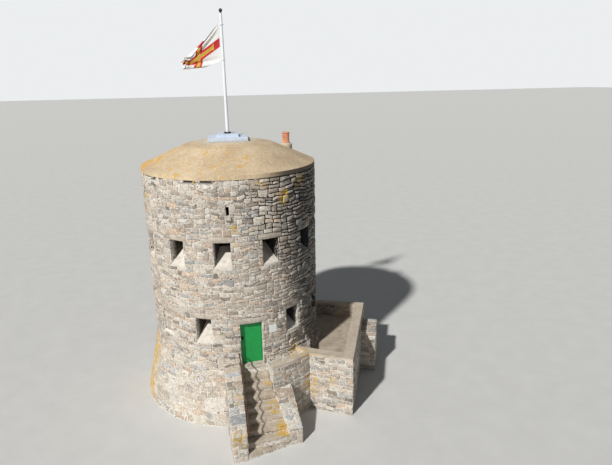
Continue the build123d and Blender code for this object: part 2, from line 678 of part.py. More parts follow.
rail = sweep(Plane(rail_path @ 0, z_dir=rail_path % 0) * Circle(RAIL_RADIUS), path=rail_path)
add("handrail", rail - left_parapet - trim)


# Low platform: three walls round a solid fill, each wall butting against the side wall
def flat(vector):
    return (vector.X, vector.Y)


def strip(start, end, thickness, low, high, past=0):
    """Straight wall with its outer face on a line and its thickness to the line's left."""
    along = (end - start).normalized()
    inward = Vector(-along.Y, along.X) * thickness
    first = start - along * past
    last = end + along * past
    return prism([flat(first), flat(last), flat(last + inward), flat(first + inward)], low, high)


near, outer_near, outer_far, far = [
    Vector(*polar(azimuth, TOWER_RADIUS + reach)) for azimuth, reach in PLATFORM_CORNERS
]
wall_top = PLATFORM_TOP - COPING_THICKNESS
side_line = (outer_far - outer_near).normalized()
side_out = Vector(side_line.Y, -side_line.X)
against_tower = far + (far - outer_far).normalized() * WALL_THICKNESS / 2
against_landing = near + (near - outer_near).normalized() * PLATFORM_WALL
platform_plan = [flat(corner) for corner in (against_landing, outer_near, outer_far, against_tower)]
platform_plan.append((0, 0))
landing_side = [(LANDING_RADIUS, 0), (LANDING_RADIUS, PLATFORM_TOP)]
keep_out = trim + turned([(0, 0)] + landing_side + [(0, PLATFORM_TOP)], 0, LANDING_END)


def platform_bands(low, high):
    """The side, front and back bands of the platform's plan between two heights."""
    whole = prism(platform_plan, low, high) - keep_out
    side_band = whole & strip(outer_near, outer_far, PLATFORM_WALL, low, high, BEYOND)
    front_band = whole & strip(near, outer_near, PLATFORM_WALL, low, high, BEYOND)
    back_band = whole & strip(outer_far, far, PLATFORM_BACK_WALL, low, high, BEYOND)
    return side_band, front_band - side_band, back_band - side_band


side_wall, front_wall, back_wall = platform_bands(0, wall_top)
coping_bands = platform_bands(wall_top, PLATFORM_TOP)


def bore(start, end, distance, height, radius, depth):
    """Level hole into a straight wall's outer face, some way along the line."""
    along = (end - start).normalized()
    mouth = start + along * distance - Vector(-along.Y, along.X) * depth
    mouth_plane = Plane(
        origin=(mouth.X, mouth.Y, height), x_dir=(0, 0, 1), z_dir=(-along.Y, along.X, 0)
    )
    return mouth_plane * post(radius, 2 * depth)


front_weep = bore(
    near, outer_near, PLATFORM_WEEP_FROM_LANDING, PLATFORM_WEEP_HEIGHT, WEEP_RADIUS, WEEP_DEPTH
)
drain_height = PLATFORM_FLOOR + DRAIN_RISE
drain = bore(outer_far, far, DRAIN_FROM_CORNER, drain_height, DRAIN_RADIUS, 2 * PLATFORM_BACK_WALL)
add("platform_side_wall", side_wall)
add("platform_front_wall", front_wall - front_weep)
add("platform_back_wall", back_wall - drain)
fill = prism(platform_plan, 0, PLATFORM_FLOOR) - keep_out - side_wall - front_wall - back_wall
add("platform_floor", fill)
add("platform_coping", coping_bands[0] + coping_bands[1] + coping_bands[2])

# Curb along the landing's edge, and the wedge between the landing and the platform
landing_coping = turned(
    [
        (curb_back, landing_top),
        (LANDING_RADIUS, landing_top),
        (LANDING_RADIUS, PARAPET_TOP),
        (curb_back, PARAPET_TOP),
    ],
    LANDING_START,
    LANDING_END,
)
add("landing_coping", landing_coping)
wedge_plan = [polar(azimuth, TOWER_RADIUS + reach) for azimuth, reach in LANDING_WEDGE_CORNERS]
wedge = prism([(0, 0)] + wedge_plan, PLATFORM_FLOOR, LANDING_WEDGE_TOP)
wedge = wedge - keep_out - side_wall - front_wall - coping_bands[1]
add("landing_wall", landing + wedge)

# Buttress stub and drain pipe on the platform's outer side
buttress_end = outer_far - side_line * BUTTRESS_FROM_CORNER
buttress_start = buttress_end - side_line * BUTTRESS_LENGTH
add("platform_buttress", strip(buttress_end, buttress_start, BUTTRESS_REACH, 0, BUTTRESS_TOP))
pipe_at = outer_far - side_line * PIPE_FROM_CORNER + side_out * PIPE_RADIUS
pipe = Pos(pipe_at.X, pipe_at.Y, PIPE_FOOT) * post(PIPE_RADIUS, PIPE_TOP - PIPE_FOOT)
add("drain_pipe", pipe)

os.makedirs("parts", exist_ok=True)
for name, shape in nodes.items():
    export_step(shape, "parts/" + name + ".step")
print(len(nodes), "nodes")
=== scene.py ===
"""Looks of the loophole tower: rubble facing, dressed stones, concrete cap, paintwork, ironwork and flag."""

import math

import bpy
import numpy as np
from mathutils import Matrix, Vector


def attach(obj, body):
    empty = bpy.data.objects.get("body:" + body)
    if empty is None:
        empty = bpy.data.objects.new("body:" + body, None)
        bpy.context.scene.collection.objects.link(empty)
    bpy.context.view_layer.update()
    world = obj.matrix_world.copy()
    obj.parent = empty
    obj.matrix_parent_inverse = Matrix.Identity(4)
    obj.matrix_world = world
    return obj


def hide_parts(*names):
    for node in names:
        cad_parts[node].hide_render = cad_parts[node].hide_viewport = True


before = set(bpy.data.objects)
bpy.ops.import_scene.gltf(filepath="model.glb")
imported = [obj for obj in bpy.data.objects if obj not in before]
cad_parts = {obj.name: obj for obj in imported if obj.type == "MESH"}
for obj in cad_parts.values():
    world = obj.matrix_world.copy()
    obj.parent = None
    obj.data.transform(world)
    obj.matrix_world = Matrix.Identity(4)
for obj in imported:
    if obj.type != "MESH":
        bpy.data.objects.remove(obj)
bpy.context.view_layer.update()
scene = bpy.context.scene
scene.view_settings.view_transform = "Standard"

# Sizes shared with the solids, in metres
RADIUS = 3.05
BATTER_TOP = 2.35
BATTER_SPREAD = 0.53
RIM = 8.40
PITCH = 30
BLOCKED_AZIMUTH, BLOCKED_HALF, BLOCKED_FACE = 300, 5.27, 2.993
LOWER_SILL, LOWER_HEAD = 2.85, 3.75
UPPER_SILL, UPPER_HEAD = 5.50, 6.40
HALF_MOUTH = 0.28
HALF_LINTEL = 0.43
LINTEL_HEIGHT = 0.19
LANDING_RADIUS = 3.78
LANDING_START, LANDING_END = 8.2, 31.2
LANDING_PAVING = 2.03
CURB_BACK = 3.57
WEDGE_TOP = 2.13
PARAPET_TOP = 2.20
LEFT_INNER = [(-0.465, -3.05), (-0.635, -5.26)]
LEFT_OUTER = [(-0.995, -3.05), (-1.095, -5.26)]
RIGHT_INNER = [(0.524, -3.743), (0.74, -4.95)]
RIGHT_OUTER = [(1.150, -3.601), (1.20, -4.95)]
LEFT_END_TOP, FLAT_END = 0.94, -3.68
RIGHT_START_TOP, RIGHT_END_TOP = 1.38, 0.59
STEPS, STEP_GOING, STAIR_HEAD, STAIR_TOP, NOSING = 9, 0.27, -3.13, 2.0, 0.02
STEP_RIGHT = [(0.40, -3.05), (0.74, -4.95)]
PLATFORM_TOP = 2.20
PLATFORM_FLOOR = 1.65
PLATFORM_WALL, PLATFORM_BACK = 0.36, 0.25
COPING = 0.09
WEEP_HALF, DRAIN_HALF, DRAIN_FROM_CORNER = 0.045, 0.05, 0.635
BUTTRESS_TOP, BUTTRESS_REACH = 1.70, 0.60
BUTTRESS_FROM_CORNER, BUTTRESS_LENGTH = 0.49, 1.18
LEAF_FACE = -2.862
LEAF_HALF, LEAF_FOOT, LEAF_TOP = 0.357, 2.008, 3.482
FLAG_TOP, FLAG_HOIST, FLAG_FLY = 13.14, 1.16, 1.74
FLAG_COLUMNS, FLAG_ROWS, FLAG_FRAMES = 54, 36, 60
FLAG_START, FLAG_WAY = 0.086, np.array([-0.990, 0.139, 0.0])
FLAG_SLACK, FLAG_RIPPLE = math.radians(34), 0.03
BREEZE_AWAY, BREEZE_PULL = 1.22, -1500


def put(name, data):
    """A new object in the scene."""
    made = bpy.data.objects.new(name, data)
    scene.collection.objects.link(made)
    return made


# Camera where the photograph was taken from
def aim(heading, down, roll):
    turn = Matrix.Rotation(-math.radians(heading), 4, "Z")
    nod = Matrix.Rotation(math.radians(90 - down), 4, "X")
    return turn @ nod @ Matrix.Rotation(math.radians(roll), 4, "Z")


camera_data = bpy.data.cameras.new("photo_camera")
camera_data.sensor_width = 36
camera_data.lens = 30.18
camera = put("photo_camera", camera_data)
camera.matrix_world = Matrix.Translation((-2.468, -18.496, 11.308)) @ aim(15.99, 16.61, -0.95)
scene.camera = camera

# One soft key lamp from the front left
key_data = bpy.data.lights.new("key", "SUN")
key_data.energy = 3.7
key_data.angle = math.radians(2.5)
key_data.color = (1.0, 0.985, 0.96)
key = put("key", key_data)
key.matrix_world = aim(49, 39, 0)


def linear(code):
    """Linear RGBA from an sRGB hex colour."""
    parts = [int(code[i : i + 2], 16) / 255 for i in (1, 3, 5)]
    return [c / 12.92 if c <= 0.04045 else ((c + 0.055) / 1.055) ** 2.4 for c in parts] + [1.0]


def add_node(kind, inputs, tree=None, **settings):
    """A shader node with its settings, and its inputs as values or links, in the tree of its links."""
    links = {place: value for place, value in inputs.items() if isinstance(value, bpy.types.NodeSocket)}
    if tree is None:
        tree = next(iter(links.values())).id_data
    node = tree.nodes.new("ShaderNode" + kind)
    for setting, value in settings.items():
        setattr(node, setting, value)
    for place, value in inputs.items():
        if place in links:
            tree.links.new(value, node.inputs[place])
        else:
            node.inputs[place].default_value = value
    return node


def blank(name):
    """An empty material."""
    made = bpy.data.materials.new(name)
    made.use_nodes = True
    made.node_tree.nodes.clear()
    return made


def in_place(name):
    """An empty material, and the places on its piece in metres."""
    made = blank(name)
    return made, add_node("TexCoord", {}, made.node_tree).outputs["Object"]


def finish_surface(mat, tone, rough, height=None, depth_mm=1.0, specular=0.5, metal=0.0, sheen=0.0):
    """The shader and its bump; height is a 0 to 1 socket and depth_mm what 1 stands for."""
    inputs = {"Base Color": tone, "Roughness": rough, "Metallic": metal}
    inputs.update({"Specular IOR Level": specular, "Sheen Weight": sheen})
    if height is not None:
        relief = {"Height": height, "Distance": depth_mm / 1000, "Strength": 1.0}
        inputs["Normal"] = add_node("Bump", relief).outputs[0]
    shader = add_node("BsdfPrincipled", inputs)
    add_node("OutputMaterial", {"Surface": shader.outputs[0]})
    return mat


def noise(where, size_mm, detail=4.0, rough=0.6):
    """Noise whose largest features are size_mm across."""
    look = {"Vector": where, "Scale": 1000 / size_mm, "Detail": detail, "Roughness": rough}
    return add_node("TexNoise", look).outputs["Fac"]


def ramp(value, *stops):
    """Colour ramp over (position, hex colour) stops."""
    made = add_node("ValToRGB", {0: value})
    points = made.color_ramp.elements
    while len(points) < len(stops):
        points.new(0.5)
    for point, (at, code) in zip(points, stops):
        point.position = at
        point.color = linear(code)
    return made.outputs["Color"]


def step(value, low, high, bottom=0.0, top=1.0):
    """A smooth rise from bottom to top while the value goes from low to high."""
    ends = {0: value, 1: low, 2: high, 3: bottom, 4: top}
    return add_node("MapRange", ends, interpolation_type="SMOOTHSTEP").outputs[0]


def blend(share, first, second, how="MIX"):
    """The second colour laid over a share of the first."""
    made = add_node("Mix", {0: share, 6: first, 7: second}, data_type="RGBA", blend_type=how)
    return made.outputs[2]


def combine(first, second, how="ADD"):
    """One value from two."""
    return add_node("Math", {0: first, 1: second}, operation=how).outputs[0]


def mottle(share, tone, value, *stops):
    """The tone made lighter and darker in patches, by an overlaid ramp."""
    return blend(share, tone, ramp(value, *stops), "OVERLAY")


def stain(tone, code, value, low, high, share=1.0):
    """Stains of one colour where the value is high."""
    return blend(step(value, low, high, 0.0, share), tone, linear(code))


def product(first, second):
    return combine(first, second, "MULTIPLY")


def near(where, centre, inner, outer):
    """1 within inner metres of a point, falling to 0 at outer."""
    far = add_node("VectorMath", {0: where, 1: centre}, operation="DISTANCE").outputs["Value"]
    return step(far, inner, outer, 1.0, 0.0)


def lichen_over(where, colour, places, size_mm=90, tones=("#c4a24b", "#d8b354", "#b48b38")):
    """Crusts of yellow lichen, thick near the places given as (centre, inner, outer, weight)."""
    weight = 0.05
    for centre, inner, outer, amount in places:
        there = product(near(where, centre, inner, outer), amount)
        weight = combine(weight, there, "MAXIMUM")
    ragged = step(noise(where, 7 * size_mm, 5, 0.7), 0.38, 0.56, 0.2, 0.3)
    crust = combine(noise(where, size_mm, 6, 0.68), product(weight, ragged))
    tone = ramp(noise(where, 30, 3), (0.3, tones[0]), (0.5, tones[1]), (0.7, tones[2]))
    return blend(step(crust, 0.74, 0.79), colour, tone)


# World: a plain pale backdrop, and a weaker even light from all round
world = bpy.data.worlds.new("studio")
scene.world = world
world.use_nodes = True
sky = world.node_tree
sky.nodes.clear()
rays = add_node("LightPath", {}, sky).outputs
backdrop = 0.0
for kind in ("Is Camera Ray", "Is Glossy Ray", "Is Transmission Ray"):
    backdrop = combine(backdrop, rays[kind], "MAXIMUM")
even = add_node("Background", {"Color": linear("#dfe6ee"), "Strength": 0.125}, sky)
pale = add_node("Background", {"Color": linear("#eceef0"), "Strength": 1.0}, sky)
mixed = add_node("MixShader", {0: backdrop, 1: even.outputs[0], 2: pale.outputs[0]})
add_node("OutputWorld", {"Surface": mixed.outputs[0]})

MORTAR_TONES = [(0.3, "#bfb7ac"), (0.5, "#ddd7ce"), (0.7, "#f3efe9")]

# Lichen on the walls, as (centre, inner, outer, weight), in metres
WALL_LICHEN = [
    ((0.55, -3.00, 8.20), 0.1, 0.75, 0.75),
    ((1.28, -2.77, 7.72), 0.1, 0.60, 1.0),
    ((1.90, -2.38, 8.20), 0.1, 0.80, 0.75),
    ((-0.38, -3.02, 6.85), 0.05, 0.35, 0.9),
    ((-1.45, -2.65, 8.30), 0.05, 0.30, 0.8),
    ((-3.50, -0.05, 0.50), 0.55, 1.8, 1.0),
    ((-3.35, -0.05, 1.60), 0.55, 1.8, 1.0),
    ((-3.05, 0.30, 2.90), 0.30, 1.6, 0.8),
    ((-2.92, -0.90, 7.70), 0.08, 0.18, 1.6),
    ((2.00, -3.30, 1.10), 0.15, 0.6, 1.0),
    ((2.15, -3.38, 0.70), 0.10, 0.6, 0.9),
    ((2.60, -3.70, 1.25), 0.05, 0.4, 0.8),
    ((1.75, -2.85, 2.05), 0.20, 0.9, 0.8),
    ((0.62, -4.20, 0.90), 0.1, 0.8, 0.6),
    ((4.60, -1.00, 1.75), 0.2, 1.0, 0.7),
    ((-0.80, -4.30, 1.45), 0.1, 0.8, 0.75),
    ((-0.85, -5.10, 0.80), 0.1, 0.7, 0.80),
]


def painted_shade_side(where):
    """1 where the upper wall faces away from the sun, to the right of the door, and less lower down: where
    shade is painted.
    """
    squat = add_node("VectorMath", {0: where, 1: (1, 1, 0.35)}, operation="MULTIPLY")
    return near(squat.outputs[0], (2.9, -0.9, 2.60), 1.7, 3.1)


def painted_shadow_joint_side(where, share):
    """The part of the wall, right of the slit, where more pits and hollow joints are painted dark as shade.
    """
    return product(near(where, (1.9, -2.4, 7.2), 1.2, 2.6), share)


def painted_shade_and_lichen(where, colour, share, places=WALL_LICHEN):
    """Painted shade, as a dark grey-blue film over a share of the side away from the sun, and lichen."""
    painted_shade_patches = step(noise(where, 240, 5, 0.7), 0.36, 0.58, 0.45, 1.0)
    painted_shade = product(painted_shade_side(where), product(painted_shade_patches, share))
    # the blend paints shade in dark grey-blue over the patches on the side away from the sun
    return lichen_over(where, blend(painted_shade, colour, linear("#30353c")), places)


# Rubble granite: split field stones, matt, with coarse crystals drawn at 12 mm so that they show, pointing
# mortar smeared over their edges, small sunk pits painted dark as shade, and painted shade on the side away
# from the sun
def rubble_granite():
    mat, where = in_place("rubble_granite")
    tint = add_node("Attribute", {}, mat.node_tree, attribute_name="stone_tint").outputs["Color"]
    crystals = noise(where, 12, 3, 0.7)
    tone = mottle(0.6, tint, noise(where, 75, 5, 0.7), (0.28, "#716f6c"), (0.5, "#c6c5c4"), (0.7, "#f4f3f2"))
    tone = mottle(0.35, tone, crystals, (0.35, "#8b8883"), (0.65, "#dddbd7"))
    smear = step(noise(where, 130, 6, 0.75), 0.54, 0.62, 0.0, 0.75)
    tone = blend(smear, tone, ramp(noise(where, 90, 5), *MORTAR_TONES))
    # pits: sunk in the bump, and painted dark brown-grey as the shade inside them
    shaded_pitting = combine(noise(where, 45, 4, 0.65), painted_shadow_joint_side(where, 0.03))
    shaded_pits = step(shaded_pitting, 0.62, 0.68, 0.0, 0.85)
    tone = blend(shaded_pits, tone, linear("#4a443d"))
    # painted shade on the side away from the sun, and lichen
    tone = painted_shade_and_lichen(where, tone, 0.75)
    height = combine(noise(where, 50, 6, 0.65), product(crystals, 0.2))
    height = combine(height, product(shaded_pits, 0.6), "SUBTRACT")
    return finish_surface(mat, tone, 0.93, height, 12, specular=0.3)


# Lime mortar: pale, sandy, brushed flush; painted shade in its hollows, in broken gaps under the cap, deep in
# the embrasures and on the side away from the sun
def lime_mortar():
    mat, where = in_place("lime_mortar")
    parts = add_node("SeparateXYZ", {0: where})
    sand = noise(where, 8, 3, 0.7)
    tone = ramp(noise(where, 110, 6, 0.65), *MORTAR_TONES)
    tone = mottle(0.3, tone, sand, (0.3, "#8d8780"), (0.7, "#dedad4"))
    flat = add_node("CombineXYZ", {"X": parts.outputs["X"], "Y": parts.outputs["Y"]})
    reach = add_node("VectorMath", {0: flat.outputs[0]}, operation="LENGTH").outputs["Value"]
    above_stair = step(parts.outputs["Z"], 2.2, 2.3)
    # painted shade, dark brown, deep in the embrasures above the stair
    depth = product(step(reach, 2.78, 3.05, 1.0, 0.0), above_stair)
    painted_embrasure_shade = ramp(noise(where, 120, 5), (0.3, "#29241f"), (0.7, "#544b42"))
    tone = blend(depth, tone, painted_embrasure_shade)
    # hollows, sunk in the bump and painted near black as the shade in them; more right of the slit
    shaded_hollow = combine(noise(where, 55, 4, 0.6), painted_shadow_joint_side(where, 0.20))
    shaded_hollow = step(shaded_hollow, 0.57, 0.62)
    # painted shadow in broken patches just under the cap's lip
    below_cap = step(parts.outputs["Z"], 8.24, 8.37)
    shadowed_gap_patches = step(noise(where, 300, 5, 0.7), 0.46, 0.52)
    # dark: the painted shade of the hollows and of the gaps under the cap
    dark = combine(shaded_hollow, product(below_cap, shadowed_gap_patches), "MAXIMUM")
    tone = blend(dark, tone, linear("#2f2a25"))
    # painted shade on the side away from the sun, and lichen
    tone = painted_shade_and_lichen(where, tone, 1.0)
    height = combine(noise(where, 60, 6, 0.6), dark, "SUBTRACT")
    return finish_surface(mat, tone, 0.95, height, 9, specular=0.2)


# Dressed granite: hammered flat faces, pale grey with rust bloom, rain streaks and lime left on them, and
# painted shade on the side away from the sun
def dressed_granite(name, dark, middle, light, places=()):
    mat, where = in_place(name)
    tone = ramp(noise(where, 220, 6, 0.65), (0.3, dark), (0.5, middle), (0.7, light))
    crystals = noise(where, 10, 3, 0.7)
    tone = mottle(0.4, tone, crystals, (0.35, "#65615c"), (0.65, "#f4f2ee"))
    tone = stain(tone, "#cfc6ba", noise(where, 170, 6, 0.7), 0.55, 0.62, 0.6)
    tone = stain(tone, "#82786a", noise(where, 90, 5, 0.7), 0.58, 0.70, 0.55)
    # painted shade on the side away from the sun, and lichen
    tone = painted_shade_and_lichen(where, tone, 0.75, places)
    height = combine(noise(where, 25, 5, 0.6), noise(where, 110, 3))
    return finish_surface(mat, tone, 0.9, height, 9, specular=0.3)


# Lime render on the splayed sills: trowelled smooth, bright, stained grey-green low down, with painted shade
# on the side away from the sun
def lime_render():
    mat, where = in_place("lime_render")
    tone = ramp(noise(where, 180, 5), (0.3, "#bfb6a9"), (0.48, "#d8d1c6"), (0.7, "#e9e3d9"))
    tone = stain(tone, "#8c8578", noise(where, 90, 5, 0.7), 0.6, 0.75, 0.55)
    # painted shade on the side away from the sun, and lichen
    tone = painted_shade_and_lichen(where, tone, 0.75)
    return finish_surface(mat, tone, 0.9, noise(where, 35, 5), 3, specular=0.25)


CAP_LICHEN = [
    ((-0.45, -2.10, 8.80), 0.7, 1.9, 0.63),
    ((-1.90, -1.90, 8.70), 0.3, 1.2, 0.60),
    ((-2.65, 0.15, 8.65), 0.5, 1.9, 1.1),
    ((0.90, 1.20, 9.20), 0.3, 1.2, 0.7),
    ((2.30, 0.60, 8.90), 0.2, 1.0, 0.6),
]


# Cap concrete: trowelled cement, buff and sandy, lichen in small flat crusts low on its front, and its lip
# painted dark as shade on the side away from the sun
def cap_concrete():
    mat, where = in_place("cap_concrete")
    tone = ramp(noise(where, 900, 6, 0.6), (0.3, "#c2af94"), (0.5, "#d1bfa3"), (0.7, "#ddccb3"))
    tone = mottle(0.6, tone, noise(where, 90, 6, 0.75), (0.3, "#8f8a83"), (0.7, "#dbd8d3"))
    grain = noise(where, 14, 3, 0.7)
    tone = mottle(0.35, tone, grain, (0.3, "#8b867f"), (0.7, "#dddad5"))
    washed = near(where, (0, 0, 9.30), 0.85, 1.35)
    tone = blend(product(washed, 0.6), tone, linear("#d8d0c4"))
    tone = lichen_over(where, tone, CAP_LICHEN, 170, ("#cf9f4c", "#dcb063", "#c79a55"))
    # painted shade: the lip's face darkened on the side away from the sun
    height_up = add_node("SeparateXYZ", {0: where}).outputs["Z"]
    side = step(height_up, RIM + 0.125, RIM + 0.14, 0.9, 0.0)
    painted_shade = product(near(where, (2.8, -0.6, RIM), 2.5, 3.4), side)
    tone = blend(painted_shade, tone, linear("#4a4640"))
    height = combine(noise(where, 120, 5, 0.55), product(grain, 0.25))
    return finish_surface(mat, tone, 0.92, height, 10, specular=0.3)


# Cast concrete copings and floor: grey-buff, board-laid, with shrinkage stains
def coping_concrete(name, dark, middle, light, places=()):
    mat, where = in_place(name)
    tone = ramp(noise(where, 400, 6, 0.65), (0.3, dark), (0.5, middle), (0.7, light))
    grain = noise(where, 16, 3, 0.7)
    tone = mottle(0.4, tone, grain, (0.3, "#6f6a64"), (0.7, "#efece7"))
    tone = lichen_over(where, tone, places, 80)
    height = combine(noise(where, 70, 5), product(grain, 0.3))
    return finish_surface(mat, tone, 0.92, height, 6, specular=0.3)


# Paint over stone, wood or metal: a film with dirt, chips and a faint brush texture
def paint(name, tone_code, worn_code, roughness, grime, grain_mm, relief_mm, under, chips):
    mat, where = in_place(name)
    wear = noise(where, 240, 6, 0.65)
    tone = blend(step(wear, 0.45, 0.75, 0.0, grime), linear(tone_code), linear(worn_code))
    chip = step(noise(where, 40, 5, 0.7), chips, chips + 0.02)
    tone = blend(chip, tone, linear(under))
    grain = noise(where, grain_mm, 4, 0.6)
    height = combine(grain, product(chip, 0.5), "SUBTRACT")
    rough = step(wear, 0.3, 0.8, roughness, roughness + 0.15)
    return finish_surface(mat, tone, rough, height, relief_mm)


# Terracotta pot: fired clay, orange-red, with paler bloom and broad throwing rings
def terracotta():
    mat, where = in_place("terracotta")
    tone = ramp(noise(where, 130, 5), (0.3, "#bd7a58"), (0.5, "#da9672"), (0.72, "#ecb092"))
    tone = stain(tone, "#7c4a36", noise(where, 60, 5, 0.7), 0.6, 0.75, 0.4)
    # at scale 1 the node turns by 20 radians a metre, so one ring is 56.55 mm
    waves = {"Vector": where, "Scale": math.tau / 20 / 0.05655, "Distortion": 1.5}
    rings = add_node("TexWave", waves, bands_direction="Z").outputs["Fac"]
    height = combine(product(rings, 0.4), noise(where, 12, 4))
    return finish_surface(mat, tone, 0.85, height, 2)


# Iron and steel: metal under a skin of rust, matt where it has rusted
def rusted(name, clean, rust_dark, rust_light, share):
    mat, where = in_place(name)
    skin = noise(where, 70, 6, 0.7)
    cover = step(skin, 0.62 - share * 0.4, 0.72 - share * 0.4)
    rust = ramp(noise(where, 22, 4), (0.3, rust_dark), (0.7, rust_light))
    tone = blend(cover, linear(clean), rust)
    rough = step(cover, 0.0, 1.0, 0.5, 0.92)
    metal = step(cover, 0.0, 1.0, 0.8, 0.0)
    return finish_surface(mat, tone, rough, noise(where, 10, 4), 1.2, metal=metal)


# Woven polyester bunting: a plain weave drawn at 8 mm so that it shows, with the sewn crosses
def bunting():
    mat = blank("polyester_bunting")
    where = add_node("UVMap", {}, mat.node_tree, uv_map="cut").outputs[0]
    parts = add_node("SeparateXYZ", {0: where})
    from_middle = []
    for axis, middle in [("X", FLAG_FLY / 2), ("Y", FLAG_HOIST / 2)]:
        offset = combine(parts.outputs[axis], middle, "SUBTRACT")
        from_middle.append(add_node("Math", {0: offset}, operation="ABSOLUTE").outputs[0])
    along, across = from_middle
    arm = FLAG_HOIST / 8
    red = combine(combine(along, across, "MINIMUM"), arm, "LESS_THAN")
    gold = 0.0
    for lengthwise, sideways, reach in [(along, across, FLAG_FLY * 0.36), (across, along, FLAG_HOIST * 0.41)]:
        half_bar = combine(step(lengthwise, reach * 0.82, reach, 0.0, arm * 0.3), arm * 0.42)
        within = combine(lengthwise, reach, "LESS_THAN")
        bar = product(combine(sideways, half_bar, "LESS_THAN"), within)
        gold = combine(gold, bar, "MAXIMUM")
    tone = blend(red, linear("#eae9e7"), linear("#c3262f"))
    tone = blend(gold, tone, linear("#d3ad45"))
    tone = mottle(0.25, tone, noise(where, 300, 4), (0.3, "#8f8b86"), (0.7, "#dcdad6"))
    threads = add_node("TexChecker", {"Vector": where, "Scale": 1000 / 8}).outputs["Fac"]
    return finish_surface(mat, tone, 0.8, threads, 0.3, sheen=0.15)


RUBBLE = rubble_granite()
MORTAR = lime_mortar()
DRESSED = dressed_granite("dressed_granite", "#9c9387", "#bab0a4", "#cbc3b8")
STEP_LICHEN = [
    ((0.55, -4.20, 1.0), 0.15, 0.60, 1.15),
    ((0.50, -3.60, 1.7), 0.15, 0.50, 1.0),
    ((0.60, -4.75, 0.5), 0.15, 0.60, 1.1),
]
STEP_STONE = dressed_granite("worn_step_granite", "#a89b8a", "#bcb0a0", "#cdc3b5", STEP_LICHEN)
RENDER = lime_render()
CAP = cap_concrete()
COPING_LICHEN = [
    ((2.0, -3.2, 2.2), 0.1, 0.7, 0.8),
    ((5.3, -0.5, 2.2), 0.1, 0.8, 0.7),
    ((1.6, -3.0, 2.1), 0.1, 0.9, 0.9),
]
COPING_MIX = coping_concrete("coping_concrete", "#b1a493", "#c2b6a6", "#d0c6b8", COPING_LICHEN)
FLOOR_MIX = coping_concrete("floor_concrete", "#9b8e7e", "#b1a595", "#c1b6a7")
HAUNCH_MIX = coping_concrete("cement_haunch", "#b9ac99", "#cdc1ae", "#dfd4c3")
PLINTH_PAINT = paint("pale_masonry_paint", "#cfdbea", "#a7b2bf", 0.6, 0.5, 30, 3, "#b9b4ab", 0.70)
DOOR_PAINT = paint("green_gloss_paint", "#0f9b4a", "#1c8142", 0.36, 0.7, 14, 0.8, "#5c7a52", 0.80)
POLE_PAINT = paint("white_gloss_paint", "#eceef2", "#c9cbd0", 0.3, 0.3, 25, 0.4, "#b9b6b0", 0.80)
FINIAL_PAINT = paint("black_gloss_paint", "#16161c", "#2b2b30", 0.22, 0.3, 25, 0.3, "#3c3a38", 0.82)
PLATE_ENAMEL = paint("white_vitreous_enamel", "#eef0ee", "#d5d6d2", 0.2, 0.3, 30, 0.3, "#7b5a48", 0.80)
PIPE_PLASTIC = paint("grey_drain_plastic", "#a9b6bf", "#8d979d", 0.45, 0.4, 60, 0.3, "#9aa3a8", 0.9)
CLAY = terracotta()
BLACK_IRON = rusted("black_wrought_iron", "#2a2a2c", "#4b3226", "#77503a", 0.25)
BUNTING = bunting()
RUSTY_STEEL = rusted("rusty_steel_tube", "#4a4440", "#33211b", "#6e4532", 0.85)

finishes = {
    MORTAR: "door_side_wall_left door_side_wall_right lower_piers upper_piers blocked_loophole_fill "
    "stair_core stair_parapet_left stair_parapet_right landing_wall platform_side_wall "
    "platform_front_wall platform_back_wall platform_buttress",
    RENDER: "lower_loophole_sills upper_loophole_sills",
    DRESSED: "lower_loophole_lintels upper_loophole_lintels door_lintel door_sill spout_stone",
    STEP_STONE: "stair_treads",
    CAP: "roof_cap",
    COPING_MIX: "platform_coping landing_coping",
    FLOOR_MIX: "platform_floor ground_floor entrance_floor upper_floor",
    HAUNCH_MIX: "chimney_haunch",
    PLINTH_PAINT: "flag_plinth",
    DOOR_PAINT: "door_leaf door_frame",
    POLE_PAINT: "flagpole flag_ties flag",
    FINIAL_PAINT: "pole_finial",
    PLATE_ENAMEL: "wall_plates",
    PIPE_PLASTIC: "drain_pipe",
    CLAY: "chimney_pot",
    BLACK_IRON: "door_straps door_pintles door_latch pole_socket",
    RUSTY_STEEL: "handrail",
}
for storey in ("base", "middle", "upper"):
    for side in ("front", "right", "back", "left"):
        finishes[MORTAR] += f" {storey}_wall_{side}"
for finish, names in finishes.items():
    for name in names.split():
        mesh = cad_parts[name].data
        mesh.materials.clear()
        mesh.materials.append(finish)

# Worn edges on the dressed and cast pieces
edge_wear_mm = {
    2: "door_leaf",
    3: "door_frame",
    8: "stair_treads",
    12: "lower_loophole_lintels upper_loophole_lintels door_sill spout_stone",
    14: "door_lintel platform_coping flag_plinth",
    20: "platform_buttress",
}
for width, names in edge_wear_mm.items():
    for name in names.split():
        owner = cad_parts[name]
        owner.modifiers.new("join", "WELD").merge_threshold = 0.0005
        wear = owner.modifiers.new("worn_edges", "BEVEL")
        wear.width = width / 1000
        wear.segments = 2
        wear.limit_method = "ANGLE"
        wear.angle_limit = math.radians(50)
        wear.harden_normals = True


# Rubble facing: colours of the stones, each with its share
STONE_TONES = [
    ("#aaa298", 3.0), ("#bab2a8", 3.0), ("#b3a89c", 2.4), ("#a3988d", 2.0),
    ("#b5a494", 1.0), ("#b9a491", 0.4), ("#a2a19e", 1.5), ("#8f877d", 0.8),
    ("#cac3ba", 2.0), ("#7d776f", 0.3),
]
FOOT_TONES = [
    ("#b4aca1", 3.0), ("#c0b8ad", 3.0), ("#bcb1a3", 2.4), ("#b7a595", 0.9),
    ("#abaaa7", 1.6), ("#cac3ba", 2.0),
]
TOP_TONES = [
    ("#b3afa8", 2.5), ("#a3a6a8", 1.3), ("#beb3a4", 2.4), ("#ad9f8f", 1.6),
    ("#cac3b8", 1.8), ("#8d867c", 0.8),
]

# Share of a course's stones that fill its height, and that lie three high; the rest lie two high
FULL_HEIGHT, THREE_HIGH = 0.13, 0.20
